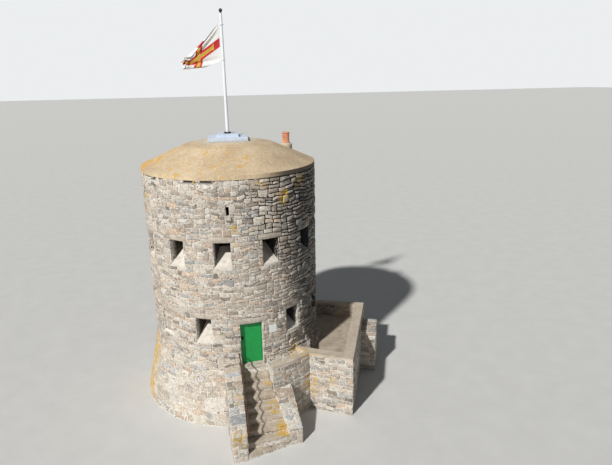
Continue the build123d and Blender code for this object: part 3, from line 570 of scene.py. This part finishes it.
# Smallest stone kept, level of the stones' backs, and how near an edge or a hole the courses run straight
SMALLEST = (0.05, 0.045)
BED = -0.02
CALM_EDGE, CALM_HOLE = 0.1, 0.15
# Brightest tint that a stone may have
PALEST = 0.60


def outer_radius(height):
    """Radius of the round wall's face, which leans out near its foot."""
    return RADIUS + BATTER_SPREAD * np.clip(1 - height / BATTER_TOP, 0, None)


def around_tower(across, up, out):
    """Points on the round wall: across is measured round it at RADIUS, from its back."""
    angle = across / RADIUS - math.pi
    reach = outer_radius(up) + out
    return np.stack([reach * np.sin(angle), -reach * np.cos(angle), up], -1)


def on_flat(origin, along, upward):
    """Points on a flat face, from its lower left corner as seen from outside."""
    origin, along, upward = (np.array(v, float) for v in (origin, along, upward))
    along /= np.linalg.norm(along)
    upward /= np.linalg.norm(upward)
    outward = np.cross(along, upward)

    def place(across, up, out):
        return origin + across[..., None] * along + up[..., None] * upward + out[..., None] * outward

    return place


def drift(rng, turns):
    """A smooth wander of the courses: one wave for each (least turns, most turns, amount in metres)."""
    waves = []
    for low, high, amount in turns:
        round_wall = rng.choice([-1, 1]) * rng.integers(low, high)
        upward = rng.uniform(-2, 2) * low / 6
        waves.append((round_wall, upward, rng.uniform(0, 6.28), amount))

    def wander(across, up):
        total = np.zeros_like(across)
        for round_wall, upward, phase, amount in waves:
            total += amount * np.sin(across / RADIUS * round_wall + up * upward + phase)
        return total

    return wander


def cells(rng, width, rows, size, single):
    """Rough courses cut into stones, as (x0, y0, x1, y1). Single courses are one stone high."""
    found = []
    for low, high in rows:
        tall = high - low
        x = 0.0
        while x < width:
            kind = 0.0 if single else rng.random()
            if single:
                span = rng.uniform(0.7, 1.4) * size
            elif kind < FULL_HEIGHT:
                span = rng.uniform(0.8, 1.5) * tall
            else:
                span = rng.uniform(0.9, 2.1) * size
            end = x + span
            if width - end < 0.45 * size:
                end = width
            if kind < FULL_HEIGHT:
                levels = [low, high]
            elif kind < FULL_HEIGHT + THREE_HIGH:
                first = low + tall * rng.uniform(0.26, 0.4)
                second = low + tall * rng.uniform(0.58, 0.72)
                levels = [low, first, second, high]
            else:
                levels = [low, low + tall * rng.uniform(0.38, 0.62), high]
            for bottom, top in zip(levels, levels[1:]):
                cuts = [x, end]
                if kind >= FULL_HEIGHT and end - x > 1.15 * size:
                    cuts = [x, x + (end - x) * rng.uniform(0.3, 0.7), end]
                for left, right in zip(cuts, cuts[1:]):
                    found.append((left, bottom, right, top))
            x = end
    return found


def cut_round(cell, hole):
    """What is left of a cell beside an opening."""
    x0, y0, x1, y1 = cell
    a0, b0, a1, b1 = hole
    if a0 >= x1 or a1 <= x0 or b0 >= y1 or b1 <= y0:
        return [cell]
    left = []
    if a0 > x0:
        left.append((x0, y0, a0, y1))
    if a1 < x1:
        left.append((a1, y0, x1, y1))
    if b0 > y0:
        left.append((max(x0, a0), y0, min(x1, a1), b0))
    if b1 < y1:
        left.append((max(x0, a0), b1, min(x1, a1), y1))
    return left


def stones_on(
    place, width, rows, seed, holes=(), size=0.36, single=False, proud=(0.005, 0.023), wander=1.0,
    tones=STONE_TONES, shade=(0.84, 1.32), relief=None, top=None, lost=0.0,
):
    """Separate stones over one face: their points, faces and tints. Top is the height that the face ends at,
    and lost the share of its uppermost stones that have fallen out."""
    rng = np.random.default_rng(seed)
    stones = cells(rng, width, rows, size, single)
    for hole in holes:
        stones = [part for cell in stones for part in cut_round(cell, hole)]
    if top is not None:
        stones = [(x0, y0, x1, min(y1, max(top(x0), top(x1)))) for x0, y0, x1, y1 in stones]
        stones = [c for c in stones if min(top(c[0]), top(c[2])) - c[1] > 0.03]
    box = np.array([c for c in stones if c[2] - c[0] > SMALLEST[0] and c[3] - c[1] > SMALLEST[1]])
    box = box[rng.random(len(box)) > lost * (box[:, 3] > rows[-1][1] - 0.1)]
    count = len(box)
    centre = (box[:, :2] + box[:, 2:]) / 2
    half = (box[:, 2:] - box[:, :2]) / 2
    worn = np.ones(count) if relief is None else relief(centre[:, 0], centre[:, 1])
    joint = rng.uniform(0.003, 0.010, half.shape) + 0.006 * (worn[:, None] - 1)
    half = np.clip(half - joint, 0.012, None)
    small = half.min(1)
    # outline: three points round each corner, with one more along the bottom and the top
    corner = small[:, None] * rng.uniform(0.06, 0.5, (count, 4)) ** 1.2 * (0.25 if single else 1)
    long_cut = np.minimum(corner * rng.uniform(0.6, 2.6, (count, 4)), half[:, :1] * 0.8)
    points = []
    for index, (sx, sy) in enumerate([(-1, -1), (1, -1), (1, 1), (-1, 1)]):
        cx, cy = long_cut[:, index], corner[:, index]
        depth = rng.uniform(0.2, 0.45, count)
        for back_x, back_y in [(cx, 0), (cx * depth, cy * depth), (0, cy)]:
            points.append(np.stack([sx * (half[:, 0] - back_x), sy * (half[:, 1] - back_y)], -1))
        if index in (0, 2):
            bow = half[:, 1] * rng.uniform(0.88, 1.05, count)
            points.append(np.stack([sx * half[:, 0] * rng.uniform(-0.3, 0.3, count), sy * bow], -1))
    outline = np.stack(points, 1)
    angles = np.arctan2(outline[..., 1] / half[:, 1:2], outline[..., 0] / half[:, 0:1])
    outline = np.take_along_axis(outline, np.argsort(angles, 1)[..., None], 1)
    wobble = rng.uniform(-0.07, 0.01, (count, outline.shape[1], 1))
    outline = outline * (1 + wobble * (0.25 if single else 1))
    sheer = rng.uniform(-0.12, 0.12, (count, 1))
    outline[..., 1] += outline[..., 0] * sheer * np.minimum(1, half[:, 1:2] / half[:, 0:1]) * 1.5
    ring = outline.shape[1]
    stand = rng.uniform(*proud, count) * worn
    # rings from the bed outwards, then the middle of the face
    insets = [(-0.001, BED), (0.0, 0.4), (0.004, 0.85), (0.013, 1.0)]
    layers = []
    tilt = rng.uniform(-0.035, 0.035, (count, 2))
    for inset, rise in insets:
        shrink = 1 - np.clip(inset / half, None, 0.42)
        flat = outline * shrink[:, None, :]
        if rise < 0:
            out = np.full(flat.shape[:2], rise)
        else:
            out = (stand[:, None] + (flat * tilt[:, None, :]).sum(-1)) * rise
            out += rng.uniform(-0.0015, 0.0015, flat.shape[:2])
        layers.append((flat, np.maximum(out, BED)))
    hub_flat = rng.uniform(-0.2, 0.2, (count, 1, 2)) * half[:, None, :]
    layers.append((hub_flat, (stand + rng.uniform(-0.003, 0.004, count))[:, None]))
    flat = np.concatenate([layer[0] for layer in layers], 1) + centre[:, None, :]
    out = np.concatenate([layer[1] for layer in layers], 1)
    across, up = flat[..., 0], flat[..., 1]
    sway_x = drift(rng, [(9, 20, 0.016), (20, 44, 0.012), (44, 90, 0.007)])
    sway_y = drift(rng, [(7, 14, 0.026), (14, 30, 0.018), (30, 60, 0.012), (60, 110, 0.006)])
    calm = np.ones_like(across)
    for a0, b0, a1, b1 in holes:
        gap = np.maximum(np.maximum(a0 - across, across - a1), np.maximum(b0 - up, up - b1))
        calm = np.minimum(calm, np.clip(gap / CALM_HOLE, 0, 1))
    edge_low, edge_high = rows[0][0], rows[-1][1]
    calm = np.minimum(calm, np.clip(np.minimum(up - edge_low, edge_high - up) / CALM_EDGE, 0, 1)) * wander
    calm_x = np.minimum(calm, np.clip(np.minimum(across, width - across) / CALM_EDGE, 0, 1))
    moved_x = across + sway_x(across, up) * calm_x
    moved_y = up + sway_y(across, up) * calm
    if top is not None:
        moved_y = np.minimum(moved_y, top(moved_x) - 0.012)
    per = flat.shape[1]
    loop = np.arange(ring)
    after = (loop + 1) % ring
    last = (len(insets) - 1) * ring
    bands = []
    for a in range(0, last, ring):
        bands.append(np.stack([a + loop, a + after, a + ring + after, a + ring + loop], -1))
    fans = np.stack([last + loop, last + after, np.full(ring, per - 1)], -1)
    base = (np.arange(count) * per)[:, None, None]
    shares = np.array([share for tone, share in tones])
    picks = rng.choice(len(tones), count, p=shares / shares.sum())
    tint = np.array([linear(tone) for tone, share in tones])[picks]
    tint[:, :3] *= np.minimum(rng.uniform(*shade, count), PALEST / tint[:, :3].max(1))[:, None]
    return {
        "points": place(moved_x, moved_y, out).reshape(-1, 3),
        "quads": (np.concatenate(bands)[None] + base).reshape(-1, 4),
        "fans": (fans[None] + base).reshape(-1, 3),
        "tint": np.repeat(tint, per, 0),
    }


def facing(name, patches, finish=RUBBLE):
    """One mesh from the stones of several faces."""
    first = np.cumsum([0] + [len(patch["points"]) for patch in patches])
    points = np.concatenate([patch["points"] for patch in patches])
    quads = np.concatenate([patch["quads"] + start for patch, start in zip(patches, first)])
    fans = np.concatenate([patch["fans"] + start for patch, start in zip(patches, first)])
    mesh = bpy.data.meshes.new(name)
    mesh.vertices.add(len(points))
    mesh.vertices.foreach_set("co", points.astype(np.float32).ravel())
    loops = np.concatenate([quads.ravel(), fans.ravel()])
    mesh.loops.add(len(loops))
    mesh.loops.foreach_set("vertex_index", loops.astype(np.int32))
    mesh.polygons.add(len(quads) + len(fans))
    starts = np.concatenate([np.arange(len(quads)) * 4, len(quads) * 4 + np.arange(len(fans)) * 3])
    mesh.polygons.foreach_set("loop_start", starts.astype(np.int32))
    mesh.update(calc_edges=True)
    mesh.validate()
    mesh.polygons.foreach_set("use_smooth", np.ones(len(mesh.polygons), bool))
    layer = mesh.color_attributes.new("stone_tint", "FLOAT_COLOR", "POINT")
    tints = np.concatenate([patch["tint"] for patch in patches])
    layer.data.foreach_set("color", tints.astype(np.float32).ravel())
    mesh.materials.append(finish)
    made = put(name, mesh)
    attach(made, "tower")


def courses(low, high, tall, rng):
    """Double courses of about a given height between two fixed lines."""
    number = max(1, round((high - low) / tall))
    marks = np.cumsum(rng.uniform(0.85, 1.15, number))
    marks = low + (high - low) * np.concatenate([[0], marks / marks[-1]])
    return list(zip(marks, marks[1:]))


AROUND = 2 * math.pi * RADIUS


def arc(azimuth):
    """Way round the wall from the door to an azimuth in degrees."""
    return math.radians(azimuth) * RADIUS


def tower_holes():
    """Openings and dressed stones of the round wall, which is unrolled from its back."""
    found = []
    for first, sill, head in [(0, LOWER_SILL, LOWER_HEAD), (PITCH / 2, UPPER_SILL, UPPER_HEAD)]:
        for index in range(12):
            if first == 0 and index == 0:
                continue
            middle = arc(first + PITCH * index)
            found.append((middle - HALF_MOUTH, sill, middle + HALF_MOUTH, head))
            found.append((middle - HALF_LINTEL, head, middle + HALF_LINTEL, head + LINTEL_HEIGHT))
    slit = arc(-10.4)
    round_plate = arc(19.6)
    square_plate = arc(14.2)
    stair_left, landing_left, landing_right, platform_right = (arc(v) for v in (-16.4, 8.6, 31, 105.5))
    door_way = (-0.375, STAIR_TOP, 0.375, 3.54)
    door_head = (-0.575, 3.54, 0.575, 3.75)
    door_step = (-0.5, 1.9, 0.5, STAIR_TOP)
    found += [door_way, door_head, door_step]
    found += [(slit - 0.05, 7.28, slit + 0.05, 7.57), (slit - 0.1, 7.16, slit + 0.1, 7.26)]
    found.append((round_plate - 0.08, 3.5, round_plate + 0.08, 3.66))
    found.append((square_plate - 0.138, 3.07, square_plate + 0.138, 3.35))
    # what the stair, the landing and the platform hide, from below the ground up
    found.append((stair_left, -1, landing_left, 1.85))
    found.append((landing_left, -1, landing_right, 2.15))
    found.append((landing_right, -1, platform_right, 1.66))
    # the facing runs from the back of the tower round to it again
    unrolled = []
    for a0, b0, a1, b1 in found:
        shift = AROUND / 2 - round((a0 + a1) / 2 / AROUND) * AROUND
        unrolled.append((a0 + shift, b0, a1 + shift, b1))
        for turn in (shift - AROUND, shift + AROUND):
            if a0 + turn < AROUND and a1 + turn > 0:
                unrolled.append((a0 + turn, b0, a1 + turn, b1))
    return unrolled


def weather_side(across, up):
    """Joints are washed deepest high on the wall, to the right of the door."""
    azimuth = np.degrees(across / RADIUS) - 180
    return 1 + 2.5 * np.exp(-(((azimuth - 38) / 24) ** 2)) * np.clip((up - 4.0) / 3.4, 0.65, 1)


rng = np.random.default_rng(7)
low_rows = courses(0.02, 1.0, 0.46, rng) + courses(1.0, 2.0, 0.36, rng)
mid_rows = courses(2.0, LOWER_SILL, 0.27, rng) + courses(LOWER_SILL, LOWER_HEAD, 0.28, rng)
mid_rows += [(LOWER_HEAD, LOWER_HEAD + LINTEL_HEIGHT)]
mid_rows += courses(LOWER_HEAD + LINTEL_HEIGHT, 4.7, 0.29, rng)
high_rows = courses(4.7, UPPER_SILL, 0.28, rng) + courses(UPPER_SILL, UPPER_HEAD, 0.28, rng)
high_rows += [(UPPER_HEAD, UPPER_HEAD + LINTEL_HEIGHT)]
top_rows = courses(UPPER_HEAD + LINTEL_HEIGHT, RIM - 0.025, 0.29, rng)
washed_foot = {"proud": (0.003, 0.012), "tones": FOOT_TONES, "shade": (0.86, 1.14)}


for name, rows, seed, size, more in [
    ("foot_stones", low_rows, 11, 0.42, washed_foot),
    ("middle_stones", mid_rows, 12, 0.38, {}),
    ("upper_stones", high_rows, 13, 0.36, {}),
    ("rim_stones", top_rows, 14, 0.36, {"lost": 0.25}),
]:
    more.update(holes=tower_holes(), size=size, relief=weather_side)
    facing(name, [stones_on(around_tower, AROUND, rows, seed, **more)])


# Walls beside the stair, the landing and the platform
def plan(azimuth, reach):
    """Plan point at an azimuth from the door and a distance from the tower's middle."""
    angle = math.radians(azimuth)
    return np.array([reach * math.sin(angle), -reach * math.cos(angle)])


def upright(start, end, foot=0.0):
    """An upright face over a plan line, with the line's right hand side outwards."""
    along = np.array(end, float) - np.array(start, float)
    return on_flat((*start, foot), (*along, 0), (0, 0, 1))


def wall_face(seed, start, end, foot, head, tall=0.3, **more):
    """Stones on an upright face."""
    rows = courses(0.005, head - foot - 0.005, tall, np.random.default_rng(seed))
    return stones_on(upright(start, end, foot), math.dist(start, end), rows, seed, **more)


def patch_of(corners, seed, tall=0.34, **more):
    """Stones over a four-cornered face, its corners anticlockwise as seen from outside."""
    low_left, low_right, high_right, high_left = (np.array(c, float) for c in corners)
    width = (np.linalg.norm(low_right - low_left) + np.linalg.norm(high_right - high_left)) / 2
    height = (np.linalg.norm(high_left - low_left) + np.linalg.norm(high_right - low_right)) / 2
    normal = np.cross(low_right - low_left, high_left - low_left)
    normal /= np.linalg.norm(normal)

    def place(across, up, out):
        u, v = (across / width)[..., None], (up / height)[..., None]
        flat = (low_left * (1 - u) + low_right * u) * (1 - v) + (high_left * (1 - u) + high_right * u) * v
        return flat + out[..., None] * normal

    rows = courses(0.0, height, tall, np.random.default_rng(seed))
    return stones_on(place, width, rows, seed, **more)


def slope_to(x_start, z_start, x_end, z_end):
    """Height of a sloping top along a face, level before its start."""
    return lambda x: z_start + (z_end - z_start) * np.clip((x - x_start) / (x_end - x_start), 0, 1)


def turned(slope, run):
    """The same slope seen from the far end of its run."""
    return lambda x: slope(run - x)


def at(point, height):
    """A plan point at a height."""
    return (point[0], point[1], height)


def on_line(ends, y):
    """The point of a plan line at a given y."""
    (x0, y0), (x1, y1) = ends
    return (x0 + (x1 - x0) * (y - y0) / (y1 - y0), y)


def sloping_patch(near_y, near_top, far_y, far_top, left, right, seed):
    """Stones over a stretch of a parapet's top, from its lower end up."""
    low = [at(on_line(line, near_y), near_top) for line in (left, right)]
    high = [at(on_line(line, far_y), far_top) for line in (right, left)]
    return patch_of([*low, *high], seed, tones=TOP_TONES)


left_run = math.dist(*LEFT_INNER)
bend = left_run * (LEFT_INNER[0][1] - FLAT_END) / (LEFT_INNER[0][1] - LEFT_INNER[1][1])
falling = slope_to(bend, PARAPET_TOP, left_run, LEFT_END_TOP)
tall_rows = courses(0.01, PARAPET_TOP, 0.31, rng)
head_y = LEFT_INNER[0][1]
foot_y = LEFT_INNER[1][1]
facing(
    "left_parapet_stones",
    [
        stones_on(upright(*LEFT_OUTER), left_run, tall_rows, 31, top=falling),
        stones_on(upright(*reversed(LEFT_INNER)), left_run, tall_rows, 32, top=turned(falling, left_run)),
        wall_face(33, LEFT_OUTER[1], LEFT_INNER[1], 0, LEFT_END_TOP),
        sloping_patch(FLAT_END, PARAPET_TOP, head_y, PARAPET_TOP, LEFT_OUTER, LEFT_INNER, 34),
        sloping_patch(foot_y, LEFT_END_TOP, FLAT_END, PARAPET_TOP, LEFT_OUTER, LEFT_INNER, 35),
    ],
)

right_run = math.dist(*RIGHT_INNER)
right_bend = math.dist(RIGHT_INNER[0], on_line(RIGHT_INNER, -LANDING_RADIUS))
dropping = slope_to(right_bend, RIGHT_START_TOP, right_run, RIGHT_END_TOP)
short_rows = courses(0.01, RIGHT_START_TOP, 0.3, rng)
right_back = upright(*reversed(RIGHT_OUTER))
end_y = RIGHT_INNER[1][1]
start_y = -LANDING_RADIUS
facing(
    "right_parapet_stones",
    [
        stones_on(upright(*RIGHT_INNER), right_run, short_rows, 41, top=dropping),
        stones_on(right_back, math.dist(*RIGHT_OUTER), short_rows, 42, top=turned(dropping, right_run)),
        wall_face(43, RIGHT_INNER[1], RIGHT_OUTER[1], 0, RIGHT_END_TOP),
        sloping_patch(end_y, RIGHT_END_TOP, start_y, RIGHT_START_TOP, RIGHT_INNER, RIGHT_OUTER, 44),
    ],
)

# Steps: a slab or two on each tread, and rough long stones in the risers
step_patches = []
for number in range(1, STEPS):
    level = number * STAIR_TOP / STEPS
    front = STAIR_HEAD - STEP_GOING * (STEPS - number)
    left = on_line(LEFT_INNER, max(front - NOSING, foot_y))
    right = on_line(STEP_RIGHT, max(front - NOSING, end_y))
    riser_top = level - 0.012
    riser_foot = max(0, level - 0.17)
    riser = wall_face(
        60 + number, left, right, riser_foot, riser_top, riser_top - riser_foot,
        size=0.5, single=True, proud=(0.001, 0.006), wander=0.15,
    )
    corners = [left, right, on_line(STEP_RIGHT, front + STEP_GOING), on_line(LEFT_INNER, front + STEP_GOING)]
    tread = patch_of(
        [at(c, level) for c in corners], 80 + number, 0.3,
        size=0.8, single=True, proud=(0.001, 0.004), wander=0.2,
    )
    step_patches += [riser, tread]
facing("step_stones", step_patches, STEP_STONE)


# Landing: its curved wall, paving and wedge
def round_landing(across, reach, height):
    angle = math.radians(LANDING_START) + across / LANDING_RADIUS
    return np.stack([reach * np.sin(angle), -reach * np.cos(angle), height], -1)


def on_landing_wall(across, up, out):
    return round_landing(across, LANDING_RADIUS + out, up)


def on_paving(across, up, out):
    return round_landing(across, CURB_BACK - up, LANDING_PAVING + out)


landing_arc = math.radians(LANDING_END - LANDING_START) * LANDING_RADIUS
weep_across = math.radians(18.9 - LANDING_START) * LANDING_RADIUS
weep_hole = (weep_across - WEEP_HALF, 1.685, weep_across + WEEP_HALF, 1.775)
landing_rows = courses(0.01, PARAPET_TOP - COPING, 0.32, rng)
wedge = [plan(LANDING_END, CURB_BACK), (2.092, -2.903), plan(51.6, RADIUS), plan(LANDING_END, RADIUS)]
facing(
    "landing_stones",
    [
        stones_on(on_landing_wall, landing_arc, landing_rows, 51, holes=[weep_hole]),
        stones_on(on_paving, landing_arc, courses(0.0, CURB_BACK - RADIUS, 0.26, rng), 52, tones=TOP_TONES),
        patch_of([at(point, WEDGE_TOP) for point in wedge], 53, tones=TOP_TONES),
    ],
)

# Platform walls, outside and in
near_corner, outer_near = plan(31.22, 3.812), plan(38.1, 5.24)
outer_far, far_corner = plan(90.69, 5.345), plan(106.44, 3.559)
wall_top = PLATFORM_TOP - COPING


def along_wall(start, end):
    """A wall's unit vectors in plan: along it, and inwards."""
    along = (end - start) / np.linalg.norm(end - start)
    return along, np.array([-along[1], along[0]])


front_line, front_in = along_wall(near_corner, outer_near)
side_line, side_in = along_wall(outer_near, outer_far)
back_line, back_in = along_wall(outer_far, far_corner)
weep = (0.795, 1.385, 0.885, 1.475)
outside = [
    wall_face(71, near_corner, outer_near, 0, wall_top, tall=0.27, size=0.38, holes=[weep]),
    wall_face(72, outer_near, outer_far, 0, wall_top, tall=0.28),
    wall_face(73, outer_far, far_corner + back_line * 0.1, 0, wall_top),
]
facing("platform_outer_stones", outside)
side_start = outer_far + side_in * PLATFORM_WALL - side_line * PLATFORM_BACK
side_end = outer_near + side_in * PLATFORM_WALL + side_line * PLATFORM_WALL
back_start = far_corner + back_in * PLATFORM_BACK
back_end = outer_far + back_in * PLATFORM_BACK
front_start = outer_near + front_in * PLATFORM_WALL - front_line * PLATFORM_WALL
front_end = near_corner + front_in * PLATFORM_WALL + front_line * 0.16
drain_at = math.dist(back_start, back_end) - DRAIN_FROM_CORNER
drain = (drain_at - DRAIN_HALF, 0.0, drain_at + DRAIN_HALF, 2 * DRAIN_HALF)
back_end = back_end + back_line * PLATFORM_WALL
inside = [
    wall_face(74, side_start, side_end, PLATFORM_FLOOR, wall_top, tall=0.26),
    wall_face(75, back_start, back_end, PLATFORM_FLOOR, wall_top, tall=0.26, holes=[drain]),
    wall_face(76, front_start, front_end, PLATFORM_FLOOR, wall_top, tall=0.26),
]
facing("platform_well_stones", inside)

# Buttress stub against the platform's side
butt_end = outer_far - side_line * BUTTRESS_FROM_CORNER
butt_start = butt_end - side_line * BUTTRESS_LENGTH
out_step = -side_in * BUTTRESS_REACH
butt_plan = [butt_start, butt_start + out_step, butt_end + out_step, butt_end]
butt_faces = [wall_face(91 + n, butt_plan[n], butt_plan[n + 1], 0, BUTTRESS_TOP) for n in range(3)]
butt_faces.append(patch_of([at(point, BUTTRESS_TOP) for point in butt_plan], 94))
facing("buttress_stones", butt_faces)

# Stones that wall up one loophole
fill_left = plan(BLOCKED_AZIMUTH - BLOCKED_HALF, BLOCKED_FACE)
fill_right = plan(BLOCKED_AZIMUTH + BLOCKED_HALF, BLOCKED_FACE)
filling = wall_face(95, fill_left, fill_right, LOWER_SILL + 0.06, LOWER_HEAD, tall=0.22, size=0.26)
facing("blocking_stones", [filling])

# Boards of the door, about 100 mm wide with an open joint of 4 mm between them
BOX_FACES = [(0, 3, 2, 1), (4, 5, 6, 7), (0, 1, 5, 4), (1, 2, 6, 5), (2, 3, 7, 6), (3, 0, 4, 7)]
BOARDS, HALF_JOINT = 7, 0.002


def leaf_boards():
    """The boards over the whole leaf, in one mesh."""
    edges = np.linspace(-LEAF_HALF + 0.001, LEAF_HALF - 0.001, BOARDS + 1)
    front = LEAF_FACE - 0.004
    back = LEAF_FACE + 0.001
    ends = (LEAF_FOOT + 0.002, LEAF_TOP - 0.002)
    points, faces = [], []
    for edge, next_edge in zip(edges, edges[1:]):
        first = len(points)
        left = edge + HALF_JOINT
        right = next_edge - HALF_JOINT
        outline = [(left, front), (right, front), (right, back), (left, back)]
        points += [(x, y, z) for z in ends for x, y in outline]
        faces += [[first + corner for corner in face] for face in BOX_FACES]
    mesh = bpy.data.meshes.new("door_boards")
    mesh.from_pydata(points, [], faces)
    mesh.materials.append(DOOR_PAINT)
    made = put("door_boards", mesh)
    round_over = made.modifiers.new("eased_edges", "BEVEL")
    round_over.width = 0.0015
    round_over.segments = 2
    return made


door_boards = leaf_boards()
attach(door_boards, "door")


# Flag: cut flat, tied along its hoist, and drawn down to one side by a slack breeze
def hung_flag():
    side_on = np.cross(FLAG_WAY, (0, 0, 1))
    along = np.linspace(0, FLAG_FLY, FLAG_COLUMNS + 1)
    down = np.linspace(0, FLAG_HOIST, FLAG_ROWS + 1)
    fly, drop = np.meshgrid(along, down)
    start = FLAG_WAY * (FLAG_START + fly * math.cos(FLAG_SLACK))[..., None]
    start = start + side_on * (FLAG_RIPPLE * np.sin(fly * 7 + drop * 2))[..., None]
    start[..., 2] += FLAG_TOP - drop - fly * math.sin(FLAG_SLACK)
    index = np.arange(fly.size).reshape(fly.shape)
    quads = np.stack([index[:-1, :-1], index[1:, :-1], index[1:, 1:], index[:-1, 1:]], -1).reshape(-1, 4)
    mesh = bpy.data.meshes.new("flag_cloth")
    mesh.from_pydata(start.reshape(-1, 3).tolist(), [], quads.tolist())
    cut = np.stack([fly, FLAG_HOIST - drop], -1).reshape(-1, 2)
    mesh.uv_layers.new(name="cut").data.foreach_set("uv", cut[quads.ravel()].ravel())
    mesh.polygons.foreach_set("use_smooth", np.ones(len(quads), bool))
    mesh.materials.append(BUNTING)
    cloth = put("flag_cloth", mesh)
    cloth.vertex_groups.new(name="tied_hoist").add(index[:, 0].tolist(), 1.0, "REPLACE")
    cloth.shape_key_add(name="hung")
    flat = cloth.shape_key_add(name="flat_cut")
    flat.data.foreach_set("co", np.stack([fly, 0 * fly, -drop], -1).ravel())
    weave = cloth.modifiers.new("bunting", "CLOTH")
    fibre = weave.settings
    fibre.quality = 8
    fibre.mass = 0.12
    fibre.tension_stiffness = fibre.compression_stiffness = 12
    fibre.shear_stiffness = 4
    fibre.bending_stiffness = 0.4
    fibre.tension_damping = fibre.compression_damping = fibre.shear_damping = 3
    fibre.air_damping = 1
    fibre.vertex_group_mass = "tied_hoist"
    fibre.rest_shape_key = flat
    fibre.effector_weights.gravity = 0.3
    weave.collision_settings.use_collision = False
    weave.collision_settings.use_self_collision = True
    weave.collision_settings.self_distance_min = 0.006
    tip = Vector(FLAG_WAY * (FLAG_START + BREEZE_AWAY)) + Vector((0, 0, FLAG_TOP - BREEZE_AWAY))
    bpy.ops.object.effector_add(type="FORCE", location=tip)
    breeze = bpy.context.object
    breeze.field.strength = BREEZE_PULL
    breeze.field.falloff_power = 0
    weave.point_cache.frame_end = FLAG_FRAMES
    for frame_number in range(1, FLAG_FRAMES + 1):
        scene.frame_set(frame_number)
    settled = cloth.evaluated_get(bpy.context.evaluated_depsgraph_get())
    flag_mesh = bpy.data.meshes.new_from_object(settled)
    bpy.data.objects.remove(cloth)
    bpy.data.objects.remove(breeze)
    scene.frame_set(1)
    flag_mesh.name = "flag_cloth"
    made = put("flag_cloth", flag_mesh)
    soft = made.modifiers.new("soft_folds", "SUBSURF")
    soft.levels = soft.render_levels = 1
    return made


flag_cloth = hung_flag()
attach(flag_cloth, "tower")
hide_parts("flag")

# Pale studio floor
floor_mesh = bpy.data.meshes.new("studio_floor")
corners = [(-400, -400, 0), (400, -400, 0), (400, 400, 0), (-400, 400, 0)]
floor_mesh.from_pydata(corners, [], [(0, 1, 2, 3)])
studio_floor = put("studio_floor", floor_mesh)
floor_paint, where = in_place("pale_floor")
speck = ramp(noise(where, 900), (0.3, "#d0d0ce"), (0.7, "#d6d6d4"))
finish_surface(floor_paint, speck, 0.9)
floor_mesh.materials.append(floor_paint)
